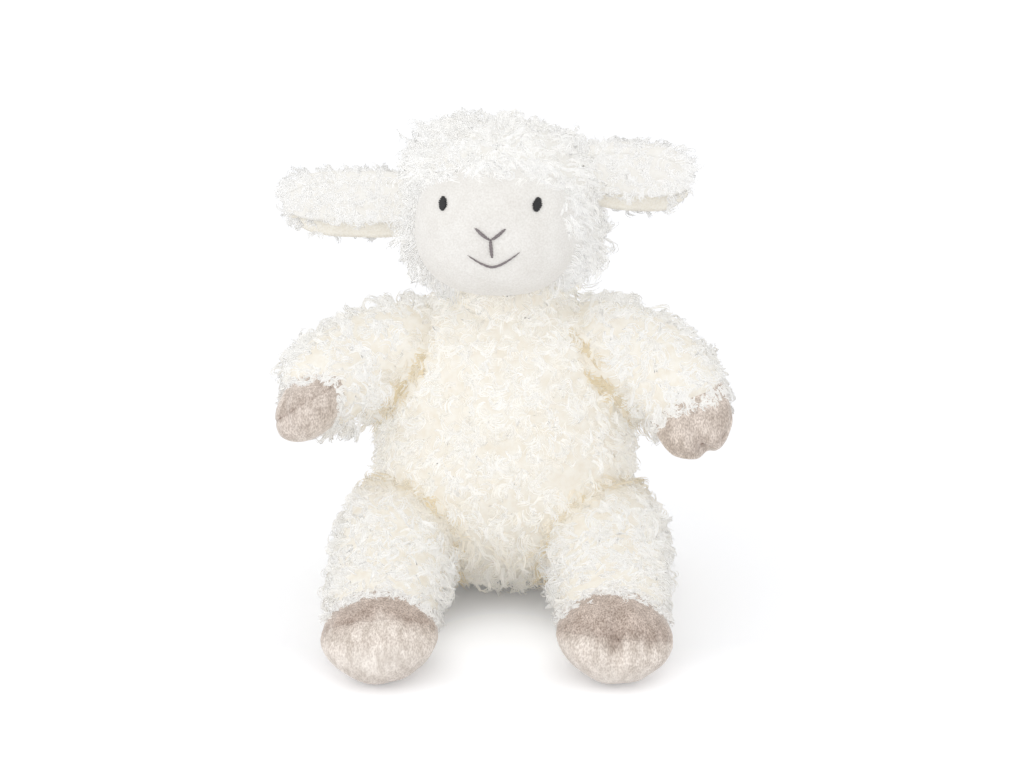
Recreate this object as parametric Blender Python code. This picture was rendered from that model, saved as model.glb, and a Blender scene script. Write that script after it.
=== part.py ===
"""Sitting plush lamb: curly fleece skins over filling, velour face, ears and cloven hooves.

Metres, +Z up. The lamb faces -Y and sits on Z = 0 with the middle of its seat at the origin.
Left and right are the lamb's own sides, so left is +X. Each limb, the head, both ears and the
tail turn about a ball or roll that sits in a socket of the piece that carries them.
"""

import math

import bmesh
import bpy
import numpy as np
from mathutils import Euler, Matrix, Vector

# Cloth and clearances
FLEECE = 0.0050  # backing and pile of the body skins
VELOUR = 0.0020  # short pile cloth of face and hooves
GAP = 0.0003  # between pieces that touch
TURN_GAP = 0.0006  # between a ball and the socket that it turns in
SWEEP_GAP = 0.0008  # round a limb that turns past the body
STAND_CUT = 0.0005  # depth of the flat that a form stands on
WELD = 0.00001  # corners nearer than this are one

# Torso
TORSO_HEIGHT = 0.1600
TORSO_HALF_WIDTH = 0.0675
TORSO_HALF_DEPTH = 0.0550
TORSO_WIDTH_SHARES = (0.96, 0.99, 1.00, 0.90, 0.78)  # seat to neck
TORSO_DEPTH_SHARES = (0.92, 1.00, 0.98, 0.84, 0.72)
TORSO_POWERS = (3.5, 2.15)  # bluntness of its ends and of its rounds: 2 is an egg
PELLET_HEIGHT = 0.0420

# Neck
NECK_SINK = 0.0080  # of its ball's middle, under the top of the torso
NECK_HEIGHT = TORSO_HEIGHT - NECK_SINK
NECK_RADIUS = 0.0280

# Head
HEAD_YAW = math.radians(-7)
HEAD_RISE = 0.0520  # of its middle, over the neck's ball
HEAD_CENTRE_HEIGHT = NECK_HEIGHT + HEAD_RISE
HEAD_FORWARD = 0.0040
HEAD_HALF_WIDTH = 0.0490
HEAD_HALF_DEPTH = 0.0480
HEAD_HALF_HEIGHT = 0.0418
HEAD_WIDTH_SHARES = (1.00, 1.02, 1.00, 0.94, 0.82)  # chin to crown
HEAD_POWERS = (3.0, 2.2)

# Face
FACE_FORWARD = 0.0300
FACE_DROP = 0.0055  # of its middle, under the head's
FACE_HEIGHT = HEAD_CENTRE_HEIGHT - FACE_DROP
FACE_HALF_WIDTH = 0.0400
FACE_HALF_DEPTH = 0.0330
FACE_POWER = 2.4  # over 2, so cheeks and brow are blunt
FACE_HALF_HEIGHT = 0.0335
EYE_SPACING = 0.0456
EYE_ABOVE = 0.0165  # the middle of the face
EYE_HEIGHT = FACE_HEIGHT + EYE_ABOVE
EYE_HALF_WIDTH = 0.0022
EYE_HALF_HEIGHT = 0.0041
EYE_RISE = 0.0016
THREAD_RADIUS = 0.0007
NOSE_ABOVE = 0.0020
NOSE_HEIGHT = FACE_HEIGHT + NOSE_ABOVE
NOSE_HALF_WIDTH = 0.0066
NOSE_RISE = 0.0055
NOSE_STEM = 0.0080
MOUTH_BELOW = 0.0120
MOUTH_HEIGHT = FACE_HEIGHT - MOUTH_BELOW
MOUTH_HALF_WIDTH = 0.0112
MOUTH_RISE = 0.0052
NOSE_POWER = 1.3  # of the curve of its arms
MOUTH_POWER = 1.8  # of the curve of the smile
STITCH_PLACES = 13

# Ears
EAR_RISE = {"left": 0.0170, "right": -0.0015}  # of the hinge line, over the head's middle
EAR_HEIGHT = {side: HEAD_CENTRE_HEIGHT + rise for side, rise in EAR_RISE.items()}
EAR_DROOP = {"left": math.radians(3), "right": math.radians(1)}
EAR_SINK = 0.0020
EAR_OUT = HEAD_HALF_WIDTH - EAR_SINK  # of the hinge line, from the middle of the head
EAR_LENGTH = {"left": 0.0505, "right": 0.0665}
EAR_TALL = 0.0370
EAR_ABOVE = 0.0175  # of the fold over the hinge line
EAR_FRONT_TALL = 0.0270  # of the front flap, from the fold down
EAR_FOLD_RADIUS = 0.0062
EAR_FLEECE = 0.0032
EAR_LINING = 0.0014
EAR_ROLL_RADIUS = 0.0065
EAR_ROLL_HALF = 0.0100
EAR_LIMIT = math.radians(20)
EAR_TALL_SHARES = (0.86, 0.96, 1.00, 1.00, 0.98, 0.88, 0.50)  # root to tip
EAR_TIP_FOLD_SHARE = 0.85  # of the fold's radius, left at the tip
EAR_ROOT_SHARE = 0.50  # of the roll's radius, where the sheets start
EAR_STATIONS = 9
EAR_FOLD_PLACES = 7

# Arms
SHOULDER_IN = 0.0275
SHOULDER_OUT = TORSO_HALF_WIDTH - SHOULDER_IN
SHOULDER_BACK = -0.0020
SHOULDER_DROP = 0.0320  # of its ball's middle, under the top of the torso
SHOULDER_HEIGHT = TORSO_HEIGHT - SHOULDER_DROP
SHOULDER_RADIUS = 0.0225
ARM_LENGTH = 0.0700  # along the bend, shoulder to cuff
ARM_BEHIND = 0.0120  # of the sleeve, inwards of the shoulder
ARM_BEND = {"left": math.radians(75), "right": math.radians(65)}
ARM_RADIUS = 0.0270
ARM_SHARES = (1.06, 1.05, 1.01, 1.00, 0.99)  # shoulder to cuff
SLEEVE_POWER = 5.0  # bluntness of the ends of arms and legs
FILLING_START_SHARE = 0.60  # of the ball's radius, where a limb's filling starts
ARM_ROLL = {"left": math.radians(45), "right": math.radians(25)}
ARM_DIP = {"left": math.radians(-3), "right": math.radians(3)}
ARM_RAISE = math.radians(35)
ARM_LOWER = math.radians(5)
HAND_TWIST = {"left": math.radians(18), "right": math.radians(46)}
HAND_HALF_WIDTH = 0.0205
HAND_HALF_HEIGHT = 0.0148
HAND_HALF_LENGTH = 0.0255
HAND_TUCK = 0.0060  # of the hoof, into the sleeve

# Legs
HIP_IN = {"left": 0.0175, "right": 0.0145}
HIP_OUT = {side: TORSO_HALF_WIDTH - inward for side, inward in HIP_IN.items()}
HIP_FORWARD = 0.0260
HIP_RADIUS = 0.0265
HIP_ABOVE = 0.0080  # of the ball over the floor
HIP_HEIGHT = HIP_RADIUS + HIP_ABOVE
LEG_LENGTH = 0.0940  # hip to cuff
LEG_BEHIND = 0.0240  # of the thigh, behind the hip
LEG_HALF_WIDTH = 0.0300
LEG_HALF_HEIGHT = 0.0270
LEG_WIDTH_SHARES = (1.14, 1.10, 1.03, 1.00, 1.00)  # hip to cuff
LEG_HEIGHT_SHARES = (1.27, 1.19, 1.04, 0.92, 0.84)
LEG_FLOOR_GAP = 0.0008
LEG_RAISE = math.radians(20)
LEG_LOWER = math.radians(15)
FOOT_SPREAD = {"left": 0.0026, "right": 0.0064}
FOOT_OUT = {side: HIP_OUT[side] + spread for side, spread in FOOT_SPREAD.items()}
FOOT_HALF_WIDTH = 0.0280
FOOT_HALF_HEIGHT = 0.0208
FOOT_HALF_LENGTH = 0.0290
FOOT_TUCK = 0.0060

# Hooves
HOOF_POWERS = (2.3, 1.75)  # the second under 2, so the sides draw to a seam corner
CLEFT_DEPTH_SHARE = 0.20  # of the hoof's half length
CLEFT_WIDTH_SHARE = 0.17  # of its half width
CORE_SHARE = 0.50  # of the hoof, for the filling that joins it to its limb's
FOOT_SEAM_TILT = {"left": math.radians(20), "right": math.radians(40)}  # the seam's front, upwards
HAND_SEAM_TILT = {"left": math.radians(6), "right": math.radians(20)}

# Tail
TAIL_HEIGHT = 0.0480
TAIL_OUT = 0.0030  # of its ball's middle, behind the back
TAIL_BALL_RADIUS = 0.0100
TAIL_LENGTH = 0.0360
TAIL_RADIUS = 0.0115
TAIL_HANG = math.radians(62)
TAIL_LIFT = math.radians(40)
TAIL_SHARES = (0.78, 0.95, 1.00, 0.85, 0.60)  # root to tip
TAIL_POWER = 2.4

SIDES = {"left": 1, "right": -1}
SKIN_FACETS = (24, 14)  # round and along a large form
LIMB_FACETS = (20, 12)
HOOF_FACETS = (16, 12)
SMALL_FACETS = (14, 8)
BALL_FACETS = (20, 12)
SWEEP_STOPS = 3  # places of a turn at which its room is cut


def clear_scene():
    """Removes whatever the file held."""
    for item in list(bpy.data.objects):
        bpy.data.objects.remove(item, do_unlink=True)


def cloth(name, colour, roughness):
    """A plain cloth material."""
    material = bpy.data.materials.new(name)
    material.use_nodes = True
    shader = material.node_tree.nodes["Principled BSDF"]
    shader.inputs["Base Color"].default_value = (*colour, 1.0)
    shader.inputs["Roughness"].default_value = roughness
    shader.inputs["Metallic"].default_value = 0.0
    return material


def paint():
    """Every cloth, thread and filling of the lamb."""
    return {
        "fleece": cloth("curly_fleece", (0.90, 0.88, 0.80), 0.95),
        "face": cloth("face_velour", (0.88, 0.85, 0.79), 0.85),
        "lining": cloth("ear_velour", (0.90, 0.86, 0.76), 0.85),
        "hoof": cloth("hoof_velour", (0.58, 0.49, 0.43), 0.85),
        "black": cloth("black_thread", (0.02, 0.02, 0.02), 0.55),
        "grey": cloth("grey_thread", (0.22, 0.19, 0.20), 0.65),
        "filling": cloth("filling", (0.92, 0.92, 0.92), 0.95),
        "pellets": cloth("pellet_bag_cloth", (0.75, 0.75, 0.72), 0.80),
    }


def share_at(shares, along):
    """Smooth value of a table of shares, from along = 0 at its first to 1 at its last."""
    table = np.asarray(shares)
    place = np.clip(along, 0.0, 1.0) * (len(table) - 1)
    first = np.minimum(place.astype(int), len(table) - 2)
    part = place - first
    before = table[np.maximum(first - 1, 0)]
    start = table[first]
    end = table[first + 1]
    after = table[np.minimum(first + 2, len(table) - 1)]
    rise_start = (end - before) / 2
    rise_end = (after - start) / 2
    turn = part * part * (3 - 2 * part)
    lean = part * (1 - part) ** 2 * rise_start - part * part * (1 - part) * rise_end
    return start + (end - start) * turn + lean


def fuller(ball, along_power, round_power):
    """Unit ball points, made blunter along Z and squarer round it as the powers grow past 2."""
    ring = (1 - np.abs(ball[:, 2]) ** along_power) ** (1 / along_power)
    angle = np.arctan2(ball[:, 1], ball[:, 0])
    across = np.cos(angle)
    up = np.sin(angle)
    size = (np.abs(across) ** round_power + np.abs(up) ** round_power) ** (-1 / round_power)
    return np.stack([ring * across * size, ring * up * size, ball[:, 2]], axis=1)


def finish_mesh(mesh, bm):
    """Writes bm to the mesh with its faces outwards and shaded smooth."""
    bmesh.ops.remove_doubles(bm, verts=bm.verts, dist=WELD)
    bmesh.ops.recalc_face_normals(bm, faces=bm.faces)
    bm.to_mesh(mesh)
    bm.free()
    mesh.shade_smooth()


def shaped_ball(name, shape, facets=SKIN_FACETS):
    """An object whose mesh is a unit ball that the shape function moves to real sizes.

    Every facet is split alike, so a hollow and the form inside it stay parallel.
    """
    mesh = bpy.data.meshes.new(name)
    bm = bmesh.new()
    bmesh.ops.create_uvsphere(bm, u_segments=facets[0], v_segments=facets[1], radius=1)
    ball = np.array([vertex.co for vertex in bm.verts], dtype=float)
    places = shape(ball / np.linalg.norm(ball, axis=1)[:, None])
    for vertex, place in zip(bm.verts, places):
        vertex.co = place
    bmesh.ops.triangulate(bm, faces=bm.faces, quad_method="FIXED")
    finish_mesh(mesh, bm)
    item = bpy.data.objects.new(name, mesh)
    bpy.context.scene.collection.objects.link(item)
    return item


def ball_form(name, centre, radius):
    """A round ball."""
    middle = np.asarray(centre)
    return shaped_ball(name, lambda ball: middle + ball * radius, BALL_FACETS)


def plate_form(name, corner, far_corner):
    """A block between two corners."""
    mesh = bpy.data.meshes.new(name)
    bm = bmesh.new()
    bmesh.ops.create_cube(bm, size=1)
    low = Vector(corner)
    high = Vector(far_corner)
    size = high - low
    for vertex in bm.verts:
        share = vertex.co + Vector((0.5, 0.5, 0.5))
        vertex.co = low + Vector((size.x * share.x, size.y * share.y, size.z * share.z))
    finish_mesh(mesh, bm)
    item = bpy.data.objects.new(name, mesh)
    bpy.context.scene.collection.objects.link(item)
    return item


def lofted(name, rings):
    """A closed skin through rings of equal point counts, with a face over each end."""
    mesh = bpy.data.meshes.new(name)
    bm = bmesh.new()
    loops = [[bm.verts.new(place) for place in ring] for ring in rings]
    count = len(loops[0])
    for near, far in zip(loops, loops[1:]):
        for number in range(count):
            following = (number + 1) % count
            bm.faces.new((near[number], near[following], far[following], far[number]))
    bm.faces.new(loops[0])
    bm.faces.new(loops[-1])
    finish_mesh(mesh, bm)
    item = bpy.data.objects.new(name, mesh)
    bpy.context.scene.collection.objects.link(item)
    return item


def combine(item, other, operation):
    """Applies an exact Boolean of the other object to the item."""
    bpy.context.view_layer.update()
    step = item.modifiers.new("combine", "BOOLEAN")
    step.operation = operation
    step.solver = "EXACT"
    step.object = other
    with bpy.context.temp_override(object=item, active_object=item):
        bpy.ops.object.modifier_apply(modifier=step.name)


def drop(*items):
    """Removes cutters that are used up."""
    for item in items:
        bpy.data.objects.remove(item, do_unlink=True)


def cut(item, *cutters):
    """Takes each cutter's form out of the item."""
    for cutter in cutters:
        combine(item, cutter, "DIFFERENCE")


def join(item, *others):
    """Adds each other form to the item."""
    for other in others:
        combine(item, other, "UNION")


def cut_swept(items, cutter, pivot, axis, first, last):
    """Takes out of the items all that the cutter passes as they turn about an axis at the pivot."""
    bpy.context.view_layer.update()
    kept = cutter.matrix_world.copy()
    for angle in np.linspace(first, last, SWEEP_STOPS):
        turn = Matrix.Rotation(-angle, 4, axis)
        cutter.matrix_world = Matrix.Translation(pivot) @ turn @ Matrix.Translation(-pivot) @ kept
        for item in items:
            cut(item, cutter)
    cutter.matrix_world = kept


def weld(item):
    """Merges the corners that cuts left on one another, and drops the slivers between them."""
    bm = bmesh.new()
    bm.from_mesh(item.data)
    bmesh.ops.dissolve_degenerate(bm, edges=bm.edges, dist=WELD)
    bmesh.ops.remove_doubles(bm, verts=bm.verts, dist=WELD)
    bm.to_mesh(item.data)
    bm.free()


def name_piece(item, name, material, parent=None):
    """Gives a finished piece its name, its cloth and the joint that carries it."""
    weld(item)
    item.name = name
    item.data.name = name
    item.data.materials.clear()
    item.data.materials.append(material)
    if parent is not None:
        bpy.context.view_layer.update()
        item.parent = parent
        item.matrix_parent_inverse = parent.matrix_world.inverted()
    return item


def joint_empty(name, place, turn=None, parent=None):
    """The empty on a joint's axis."""
    item = bpy.data.objects.new(name, None)
    bpy.context.scene.collection.objects.link(item)
    world = Matrix.Translation(place)
    if turn is not None:
        world = world @ turn.to_matrix().to_4x4()
    item.matrix_world = world
    if parent is not None:
        bpy.context.view_layer.update()
        item.parent = parent
        item.matrix_parent_inverse = parent.matrix_world.inverted()
    item.empty_display_size = GAP
    bpy.context.view_layer.update()
    return item


def halved(facets):
    """Half as many facets, whose corners lie on every other corner of the full form."""
    return tuple(count // 2 for count in facets)


def torso_form(name, inset, facets=SKIN_FACETS):
    """The body under the skin: broad flat seat, full belly, narrow neck."""

    def shape(ball):
        full = fuller(ball, *TORSO_POWERS)
        along = (full[:, 2] + 1) / 2
        width = TORSO_HALF_WIDTH * share_at(TORSO_WIDTH_SHARES, along) - inset
        depth = TORSO_HALF_DEPTH * share_at(TORSO_DEPTH_SHARES, along) - inset
        height = along * (TORSO_HEIGHT + STAND_CUT - 2 * inset) + inset - STAND_CUT
        return np.stack([full[:, 0] * width, full[:, 1] * depth, height], axis=1)

    return shaped_ball(name, shape, facets)


def shoulder(side):
    """The place of an arm's joint."""
    return Vector((SIDES[side] * SHOULDER_OUT, SHOULDER_BACK, SHOULDER_HEIGHT))


def hip(side):
    """The place of a leg's joint."""
    return Vector((SIDES[side] * HIP_OUT[side], -HIP_FORWARD, HIP_HEIGHT))


def tail_root():
    """The place of the tail's joint, just behind the back at its own height."""
    along = np.array([TAIL_HEIGHT / TORSO_HEIGHT])
    depth = TORSO_HALF_DEPTH * float(share_at(TORSO_DEPTH_SHARES, along)[0])
    return Vector((0, depth + TAIL_OUT, TAIL_HEIGHT))


def neck():
    """The place of the head's joints."""
    return Vector((0, 0, NECK_HEIGHT))


def body_with_balls(name):
    """The torso with the balls that the arms and legs turn on."""
    body = torso_form(name, 0)
    for side in SIDES:
        arm_ball = ball_form("shoulder_ball", shoulder(side), SHOULDER_RADIUS)
        leg_ball = ball_form("hip_ball", hip(side), HIP_RADIUS)
        join(body, arm_ball, leg_ball)
        drop(arm_ball, leg_ball)
    return body


def below_floor():
    """A block under the plane that the lamb sits on."""
    reach = TORSO_HEIGHT
    return plate_form("floor_cutter", (-reach, -reach, -reach), (reach, reach, 0))


def make_torso(cloths):
    """Skin, filling and pellet bag of the body."""
    skin = body_with_balls("torso_skin")
    hollow = torso_form("hollow", FLEECE, halved(SKIN_FACETS))
    socket = ball_form("socket", neck(), NECK_RADIUS + TURN_GAP)
    tail_socket = ball_form("tail_socket", tail_root(), TAIL_BALL_RADIUS + TURN_GAP)
    floor = below_floor()
    cut(skin, hollow, socket, tail_socket, floor)
    name_piece(skin, "torso_fleece", cloths["fleece"])

    filling = torso_form("filling", FLEECE + GAP, halved(SKIN_FACETS))
    reach = TORSO_HALF_WIDTH
    low = plate_form("low", (-reach, -reach, -reach), (reach, reach, PELLET_HEIGHT + GAP))
    cut(filling, low, socket, tail_socket)
    name_piece(filling, "torso_filling", cloths["filling"])

    bag = torso_form("bag", FLEECE + GAP, halved(SKIN_FACETS))
    high = plate_form("high", (-reach, -reach, PELLET_HEIGHT), (reach, reach, TORSO_HEIGHT))
    cut(bag, high, tail_socket)
    name_piece(bag, "pellet_bag", cloths["pellets"])
    drop(hollow, socket, tail_socket, floor, low, high)


def head_form(name, inset, facets=SKIN_FACETS):
    """The head under its skin, broad at the cheeks and blunt below."""

    def shape(ball):
        full = fuller(ball, *HEAD_POWERS)
        along = (full[:, 2] + 1) / 2
        width = (HEAD_HALF_WIDTH - inset) * share_at(HEAD_WIDTH_SHARES, along)
        depth = HEAD_HALF_DEPTH - inset
        height = HEAD_HALF_HEIGHT - inset
        out = np.stack([full[:, 0] * width, full[:, 1] * depth, full[:, 2] * height], axis=1)
        return out + np.array([0, -HEAD_FORWARD, HEAD_CENTRE_HEIGHT])

    item = shaped_ball(name, shape, facets)
    item.rotation_euler = (0, 0, HEAD_YAW)
    return item


def face_form(name, inset, facets=SKIN_FACETS):
    """The muzzle and cheeks that the face cloth covers."""

    def shape(ball):
        full = fuller(ball, FACE_POWER, FACE_POWER)
        radii = np.array([FACE_HALF_WIDTH, FACE_HALF_DEPTH, FACE_HALF_HEIGHT]) - inset
        return full * radii + np.array([0, -FACE_FORWARD, FACE_HEIGHT])

    item = shaped_ball(name, shape, facets)
    item.rotation_euler = (0, 0, HEAD_YAW)
    return item


def face_front(across, height):
    """Y of the face cloth in the head's own frame, at a place across and a height."""
    up = np.abs((height - FACE_HEIGHT) / FACE_HALF_HEIGHT)
    ring = (1 - up**FACE_POWER) ** (1 / FACE_POWER)
    side = np.abs(across / FACE_HALF_WIDTH)
    depth = (ring**FACE_POWER - side**FACE_POWER) ** (1 / FACE_POWER)
    return -FACE_FORWARD - FACE_HALF_DEPTH * depth


def ear_root(side):
    """The middle of an ear's hinge line, in the head's own frame."""
    return Vector((SIDES[side] * EAR_OUT, -HEAD_FORWARD, EAR_HEIGHT[side]))


def roll_form(name, side, grow):
    """The gathered roll at an ear's root, lying along its hinge line."""
    root = ear_root(side)

    def ring(back):
        angles = np.linspace(0, 2 * math.pi, SMALL_FACETS[0], endpoint=False)
        radius = EAR_ROLL_RADIUS + grow
        half = EAR_ROLL_HALF + grow
        across = root.x + radius * np.cos(angles)
        height = root.z + radius * np.sin(angles)
        return [(x, root.y + back * half, z) for x, z in zip(across, height)]

    item = lofted(name, [ring(-1), ring(1)])
    item.rotation_euler = (0, 0, HEAD_YAW)
    return item


def ear_sheet(name, side, outer, inner):
    """One cloth of a folded ear: an upturned U along the ear, between two radii of its fold."""
    tall = EAR_TALL
    length = EAR_LENGTH[side]
    start = EAR_ROLL_RADIUS * EAR_ROOT_SHARE
    root = ear_root(side)
    arc = np.linspace(math.pi, 0, EAR_FOLD_PLACES)
    rings = []
    for share in np.linspace(0, 1, EAR_STATIONS):
        along = np.sin(share * math.pi / 2)
        size = float(share_at(EAR_TALL_SHARES, np.array([along]))[0])
        top = EAR_ABOVE * size
        front = top - EAR_FRONT_TALL * size
        back = top - tall * size
        shrink = (1 - EAR_TIP_FOLD_SHARE) * (1 - math.cos(along * math.pi / 2)) * EAR_FOLD_RADIUS
        wide = outer - shrink
        thin = inner - shrink
        crown = top - EAR_FOLD_RADIUS
        path = [(-wide, front)]
        path += [(wide * math.cos(a), crown + wide * math.sin(a)) for a in arc]
        path += [(wide, back), (thin, back)]
        path += [(thin * math.cos(a), crown + thin * math.sin(a)) for a in arc[::-1]]
        path += [(-thin, front)]
        out = start + along * (length - start)
        rings.append([(SIDES[side] * out, y, z) for y, z in path])
    item = lofted(name, rings)
    droop = Matrix.Rotation(SIDES[side] * EAR_DROOP[side], 4, "Y")
    item.data.transform(Matrix.Translation(root) @ droop)
    item.rotation_euler = (0, 0, HEAD_YAW)
    return item


def make_ears(cloths, joints):
    """Fleece and lining of both folded ears."""
    head = head_form("head_cutter", -SWEEP_GAP)
    for side in SIDES:
        skin = ear_sheet("ear_skin", side, EAR_FOLD_RADIUS, EAR_FOLD_RADIUS - EAR_FLEECE)
        lining_outer = EAR_FOLD_RADIUS - EAR_FLEECE - GAP
        lining = ear_sheet("ear_lining", side, lining_outer, lining_outer - EAR_LINING)
        turn = Matrix.Rotation(HEAD_YAW, 4, "Z")
        pivot = turn @ ear_root(side)
        axis = turn @ Vector((0, -SIDES[side], 0))
        cut_swept([skin, lining], head, pivot, axis, -EAR_LIMIT, EAR_LIMIT)
        roll = roll_form("roll", side, 0)
        roll_room = roll_form("roll_room", side, GAP)
        cut(lining, roll_room)
        join(skin, roll)
        drop(roll, roll_room)
        name_piece(skin, f"ear_{side}_fleece", cloths["fleece"], joints[f"ear_{side}"])
        name_piece(lining, f"ear_{side}_lining", cloths["lining"], joints[f"ear_{side}"])
    drop(head)


def make_eye(side, cloths, joint):
    """A satin-stitched oval, proud of the face cloth."""
    across = SIDES[side] * EYE_SPACING / 2
    front = float(face_front(np.array(across), np.array(EYE_HEIGHT)))
    middle = np.array([across, front, EYE_HEIGHT])
    radii = np.array([EYE_HALF_WIDTH, EYE_RISE + GAP, EYE_HALF_HEIGHT])
    item = shaped_ball("eye", lambda ball: middle + ball * radii, SMALL_FACETS)
    item.rotation_euler = (0, 0, HEAD_YAW)
    under = face_form("under_eye", -GAP)
    cut(item, under)
    drop(under)
    name_piece(item, f"eye_{side}", cloths["black"], joint)


def thread(name, across, heights):
    """A line of stitching that follows the face, from its places across and its heights."""
    rise = THREAD_RADIUS + 2 * GAP
    places = np.stack([across, face_front(across, heights) - rise, heights], axis=1)
    line = bpy.data.curves.new(name, "CURVE")
    line.dimensions = "3D"
    line.bevel_depth = THREAD_RADIUS
    line.bevel_resolution = 2
    line.use_fill_caps = True
    spline = line.splines.new("POLY")
    spline.points.add(len(places) - 1)
    for point, place in zip(spline.points, places):
        point.co = (*place, 1)
    guide = bpy.data.objects.new(name, line)
    bpy.context.scene.collection.objects.link(guide)
    bpy.context.view_layer.update()
    mesh = bpy.data.meshes.new_from_object(guide.evaluated_get(bpy.context.evaluated_depsgraph_get()))
    drop(guide)
    bm = bmesh.new()
    bm.from_mesh(mesh)
    finish_mesh(mesh, bm)
    item = bpy.data.objects.new(name, mesh)
    bpy.context.scene.collection.objects.link(item)
    item.rotation_euler = (0, 0, HEAD_YAW)
    return item


def make_stitches(cloths, joint):
    """Nose and mouth, sewn in grey thread."""
    spread = np.linspace(-1, 1, STITCH_PLACES)
    away = np.abs(spread)
    arm_heights = NOSE_HEIGHT + NOSE_RISE * away**NOSE_POWER
    arms = thread("arms", spread * NOSE_HALF_WIDTH, arm_heights)
    stem_heights = np.linspace(NOSE_HEIGHT, NOSE_HEIGHT - NOSE_STEM, STITCH_PLACES)
    stem = thread("stem", np.zeros(STITCH_PLACES), stem_heights)
    join(arms, stem)
    drop(stem)
    name_piece(arms, "nose_stitch", cloths["grey"], joint)
    smile_heights = MOUTH_HEIGHT + MOUTH_RISE * away**MOUTH_POWER
    smile = thread("smile", spread * MOUTH_HALF_WIDTH, smile_heights)
    name_piece(smile, "mouth_stitch", cloths["grey"], joint)


def make_head(cloths, joints):
    """Skin, filling and face of the head, with its stitched features."""
    skin = head_form("head_skin", 0)
    hollow = head_form("hollow", FLEECE, halved(SKIN_FACETS))
    socket = ball_form("socket", neck(), NECK_RADIUS + TURN_GAP)
    face_room = face_form("face_room", -GAP)
    rolls = [roll_form(f"roll_{side}", side, TURN_GAP) for side in SIDES]
    cut(skin, hollow, socket, face_room, *rolls)
    name_piece(skin, "head_fleece", cloths["fleece"], joints["head"])

    face = face_form("face", 0)
    face_hollow = face_form("face_hollow", VELOUR, halved(SKIN_FACETS))
    behind = head_form("behind", FLEECE, halved(SKIN_FACETS))
    cut(face, face_hollow, behind, socket)
    name_piece(face, "face_panel", cloths["face"], joints["head"])

    filling = head_form("filling", FLEECE + GAP, halved(SKIN_FACETS))
    muzzle = face_form("muzzle", VELOUR + GAP, halved(SKIN_FACETS))
    join(filling, muzzle)
    cut(filling, socket, *rolls)
    name_piece(filling, "head_filling", cloths["filling"], joints["head"])
    drop(hollow, socket, face_room, face_hollow, behind, muzzle, *rolls)

    for side in SIDES:
        make_eye(side, cloths, joints["head"])
    make_stitches(cloths, joints["head"])


def make_neck(cloths, joints):
    """The stuffed neck between body and head."""
    ball = ball_form("neck", neck(), NECK_RADIUS)
    name_piece(ball, "neck_filling", cloths["filling"], joints["neck"])


def hoof_shape(half_width, half_height, half_length, inset):
    """Shape function of a cloven hoof: a lens-sided egg along +Z with a cleft in its front end."""

    def shape(ball):
        full = fuller(ball, *HOOF_POWERS)
        across = full[:, 0]
        front = np.clip(full[:, 2], 0, 1) ** 2
        cleft = CLEFT_DEPTH_SHARE * np.exp(-((across / CLEFT_WIDTH_SHARE) ** 2)) * front
        return np.stack(
            [
                across * (half_width - inset),
                full[:, 1] * (half_height - inset),
                full[:, 2] * (half_length - inset) - cleft * half_length,
            ],
            axis=1,
        )

    return shape


def limb_tube(name, path, width_of, height_of, first, last, inset, facets):
    """A blunt-ended sleeve along a path, whose frame gives middle, across and up at a length."""

    def shape(ball):
        full = fuller(ball, SLEEVE_POWER, 2)
        along = (full[:, 2] + 1) / 2
        length = first + inset + along * (last - first - 2 * inset)
        middle, across, up = path(length)
        wide = (width_of(length) - inset) * full[:, 0]
        tall = (height_of(length) - inset) * full[:, 1]
        return middle + across * wide[:, None] + up * tall[:, None]

    return shaped_ball(name, shape, facets)


def arm_path(side):
    """Frame along an arm's bend in its joint's own frame: outwards first, then forwards."""
    sign = SIDES[side]
    turn_radius = ARM_LENGTH / ARM_BEND[side]

    def frame(length):
        angle = np.clip(length, None, ARM_LENGTH) / turn_radius
        past = np.clip(length - ARM_LENGTH, 0, None)
        out = turn_radius * np.sin(angle) + past * np.cos(angle)
        forth = turn_radius * (1 - np.cos(angle)) + past * np.sin(angle)
        zero = np.zeros_like(angle)
        middle = np.stack([sign * out, -forth, zero], axis=1)
        across = np.stack([sign * np.sin(angle), np.cos(angle), zero], axis=1)
        up = np.stack([zero, zero, zero + 1], axis=1)
        return middle, across, up

    return frame


def leg_path(side):
    """Frame along a leg in its joint's own frame: forwards, and down to the foot's height."""
    sign = SIDES[side]
    drift = sign * (FOOT_OUT[side] - HIP_OUT[side])

    def frame(length):
        share = length / LEG_LENGTH
        bottom = LEG_FLOOR_GAP - HIP_HEIGHT
        tall = LEG_HALF_HEIGHT * share_at(LEG_HEIGHT_SHARES, share)
        zero = np.zeros_like(share)
        middle = np.stack([drift * share, -length, bottom + tall], axis=1)
        across = np.stack([zero + sign, zero, zero], axis=1)
        up = np.stack([zero, zero, zero + 1], axis=1)
        return middle, across, up

    return frame


def arm_sleeve(name, side, inset, facets=LIMB_FACETS):
    """The arm's sleeve form from inside the shoulder to its cuff."""

    def radius(length):
        return ARM_RADIUS * share_at(ARM_SHARES, length / ARM_LENGTH)

    last = ARM_LENGTH + HAND_TUCK
    return limb_tube(name, arm_path(side), radius, radius, -ARM_BEHIND, last, inset, facets)


def leg_sleeve(name, side, inset, facets=LIMB_FACETS):
    """The leg's sleeve form from inside the hip to its cuff."""

    def width(length):
        return LEG_HALF_WIDTH * share_at(LEG_WIDTH_SHARES, length / LEG_LENGTH)

    def height(length):
        return LEG_HALF_HEIGHT * share_at(LEG_HEIGHT_SHARES, length / LEG_LENGTH)

    last = LEG_LENGTH + FOOT_TUCK
    return limb_tube(name, leg_path(side), width, height, -LEG_BEHIND, last, inset, facets)


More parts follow.
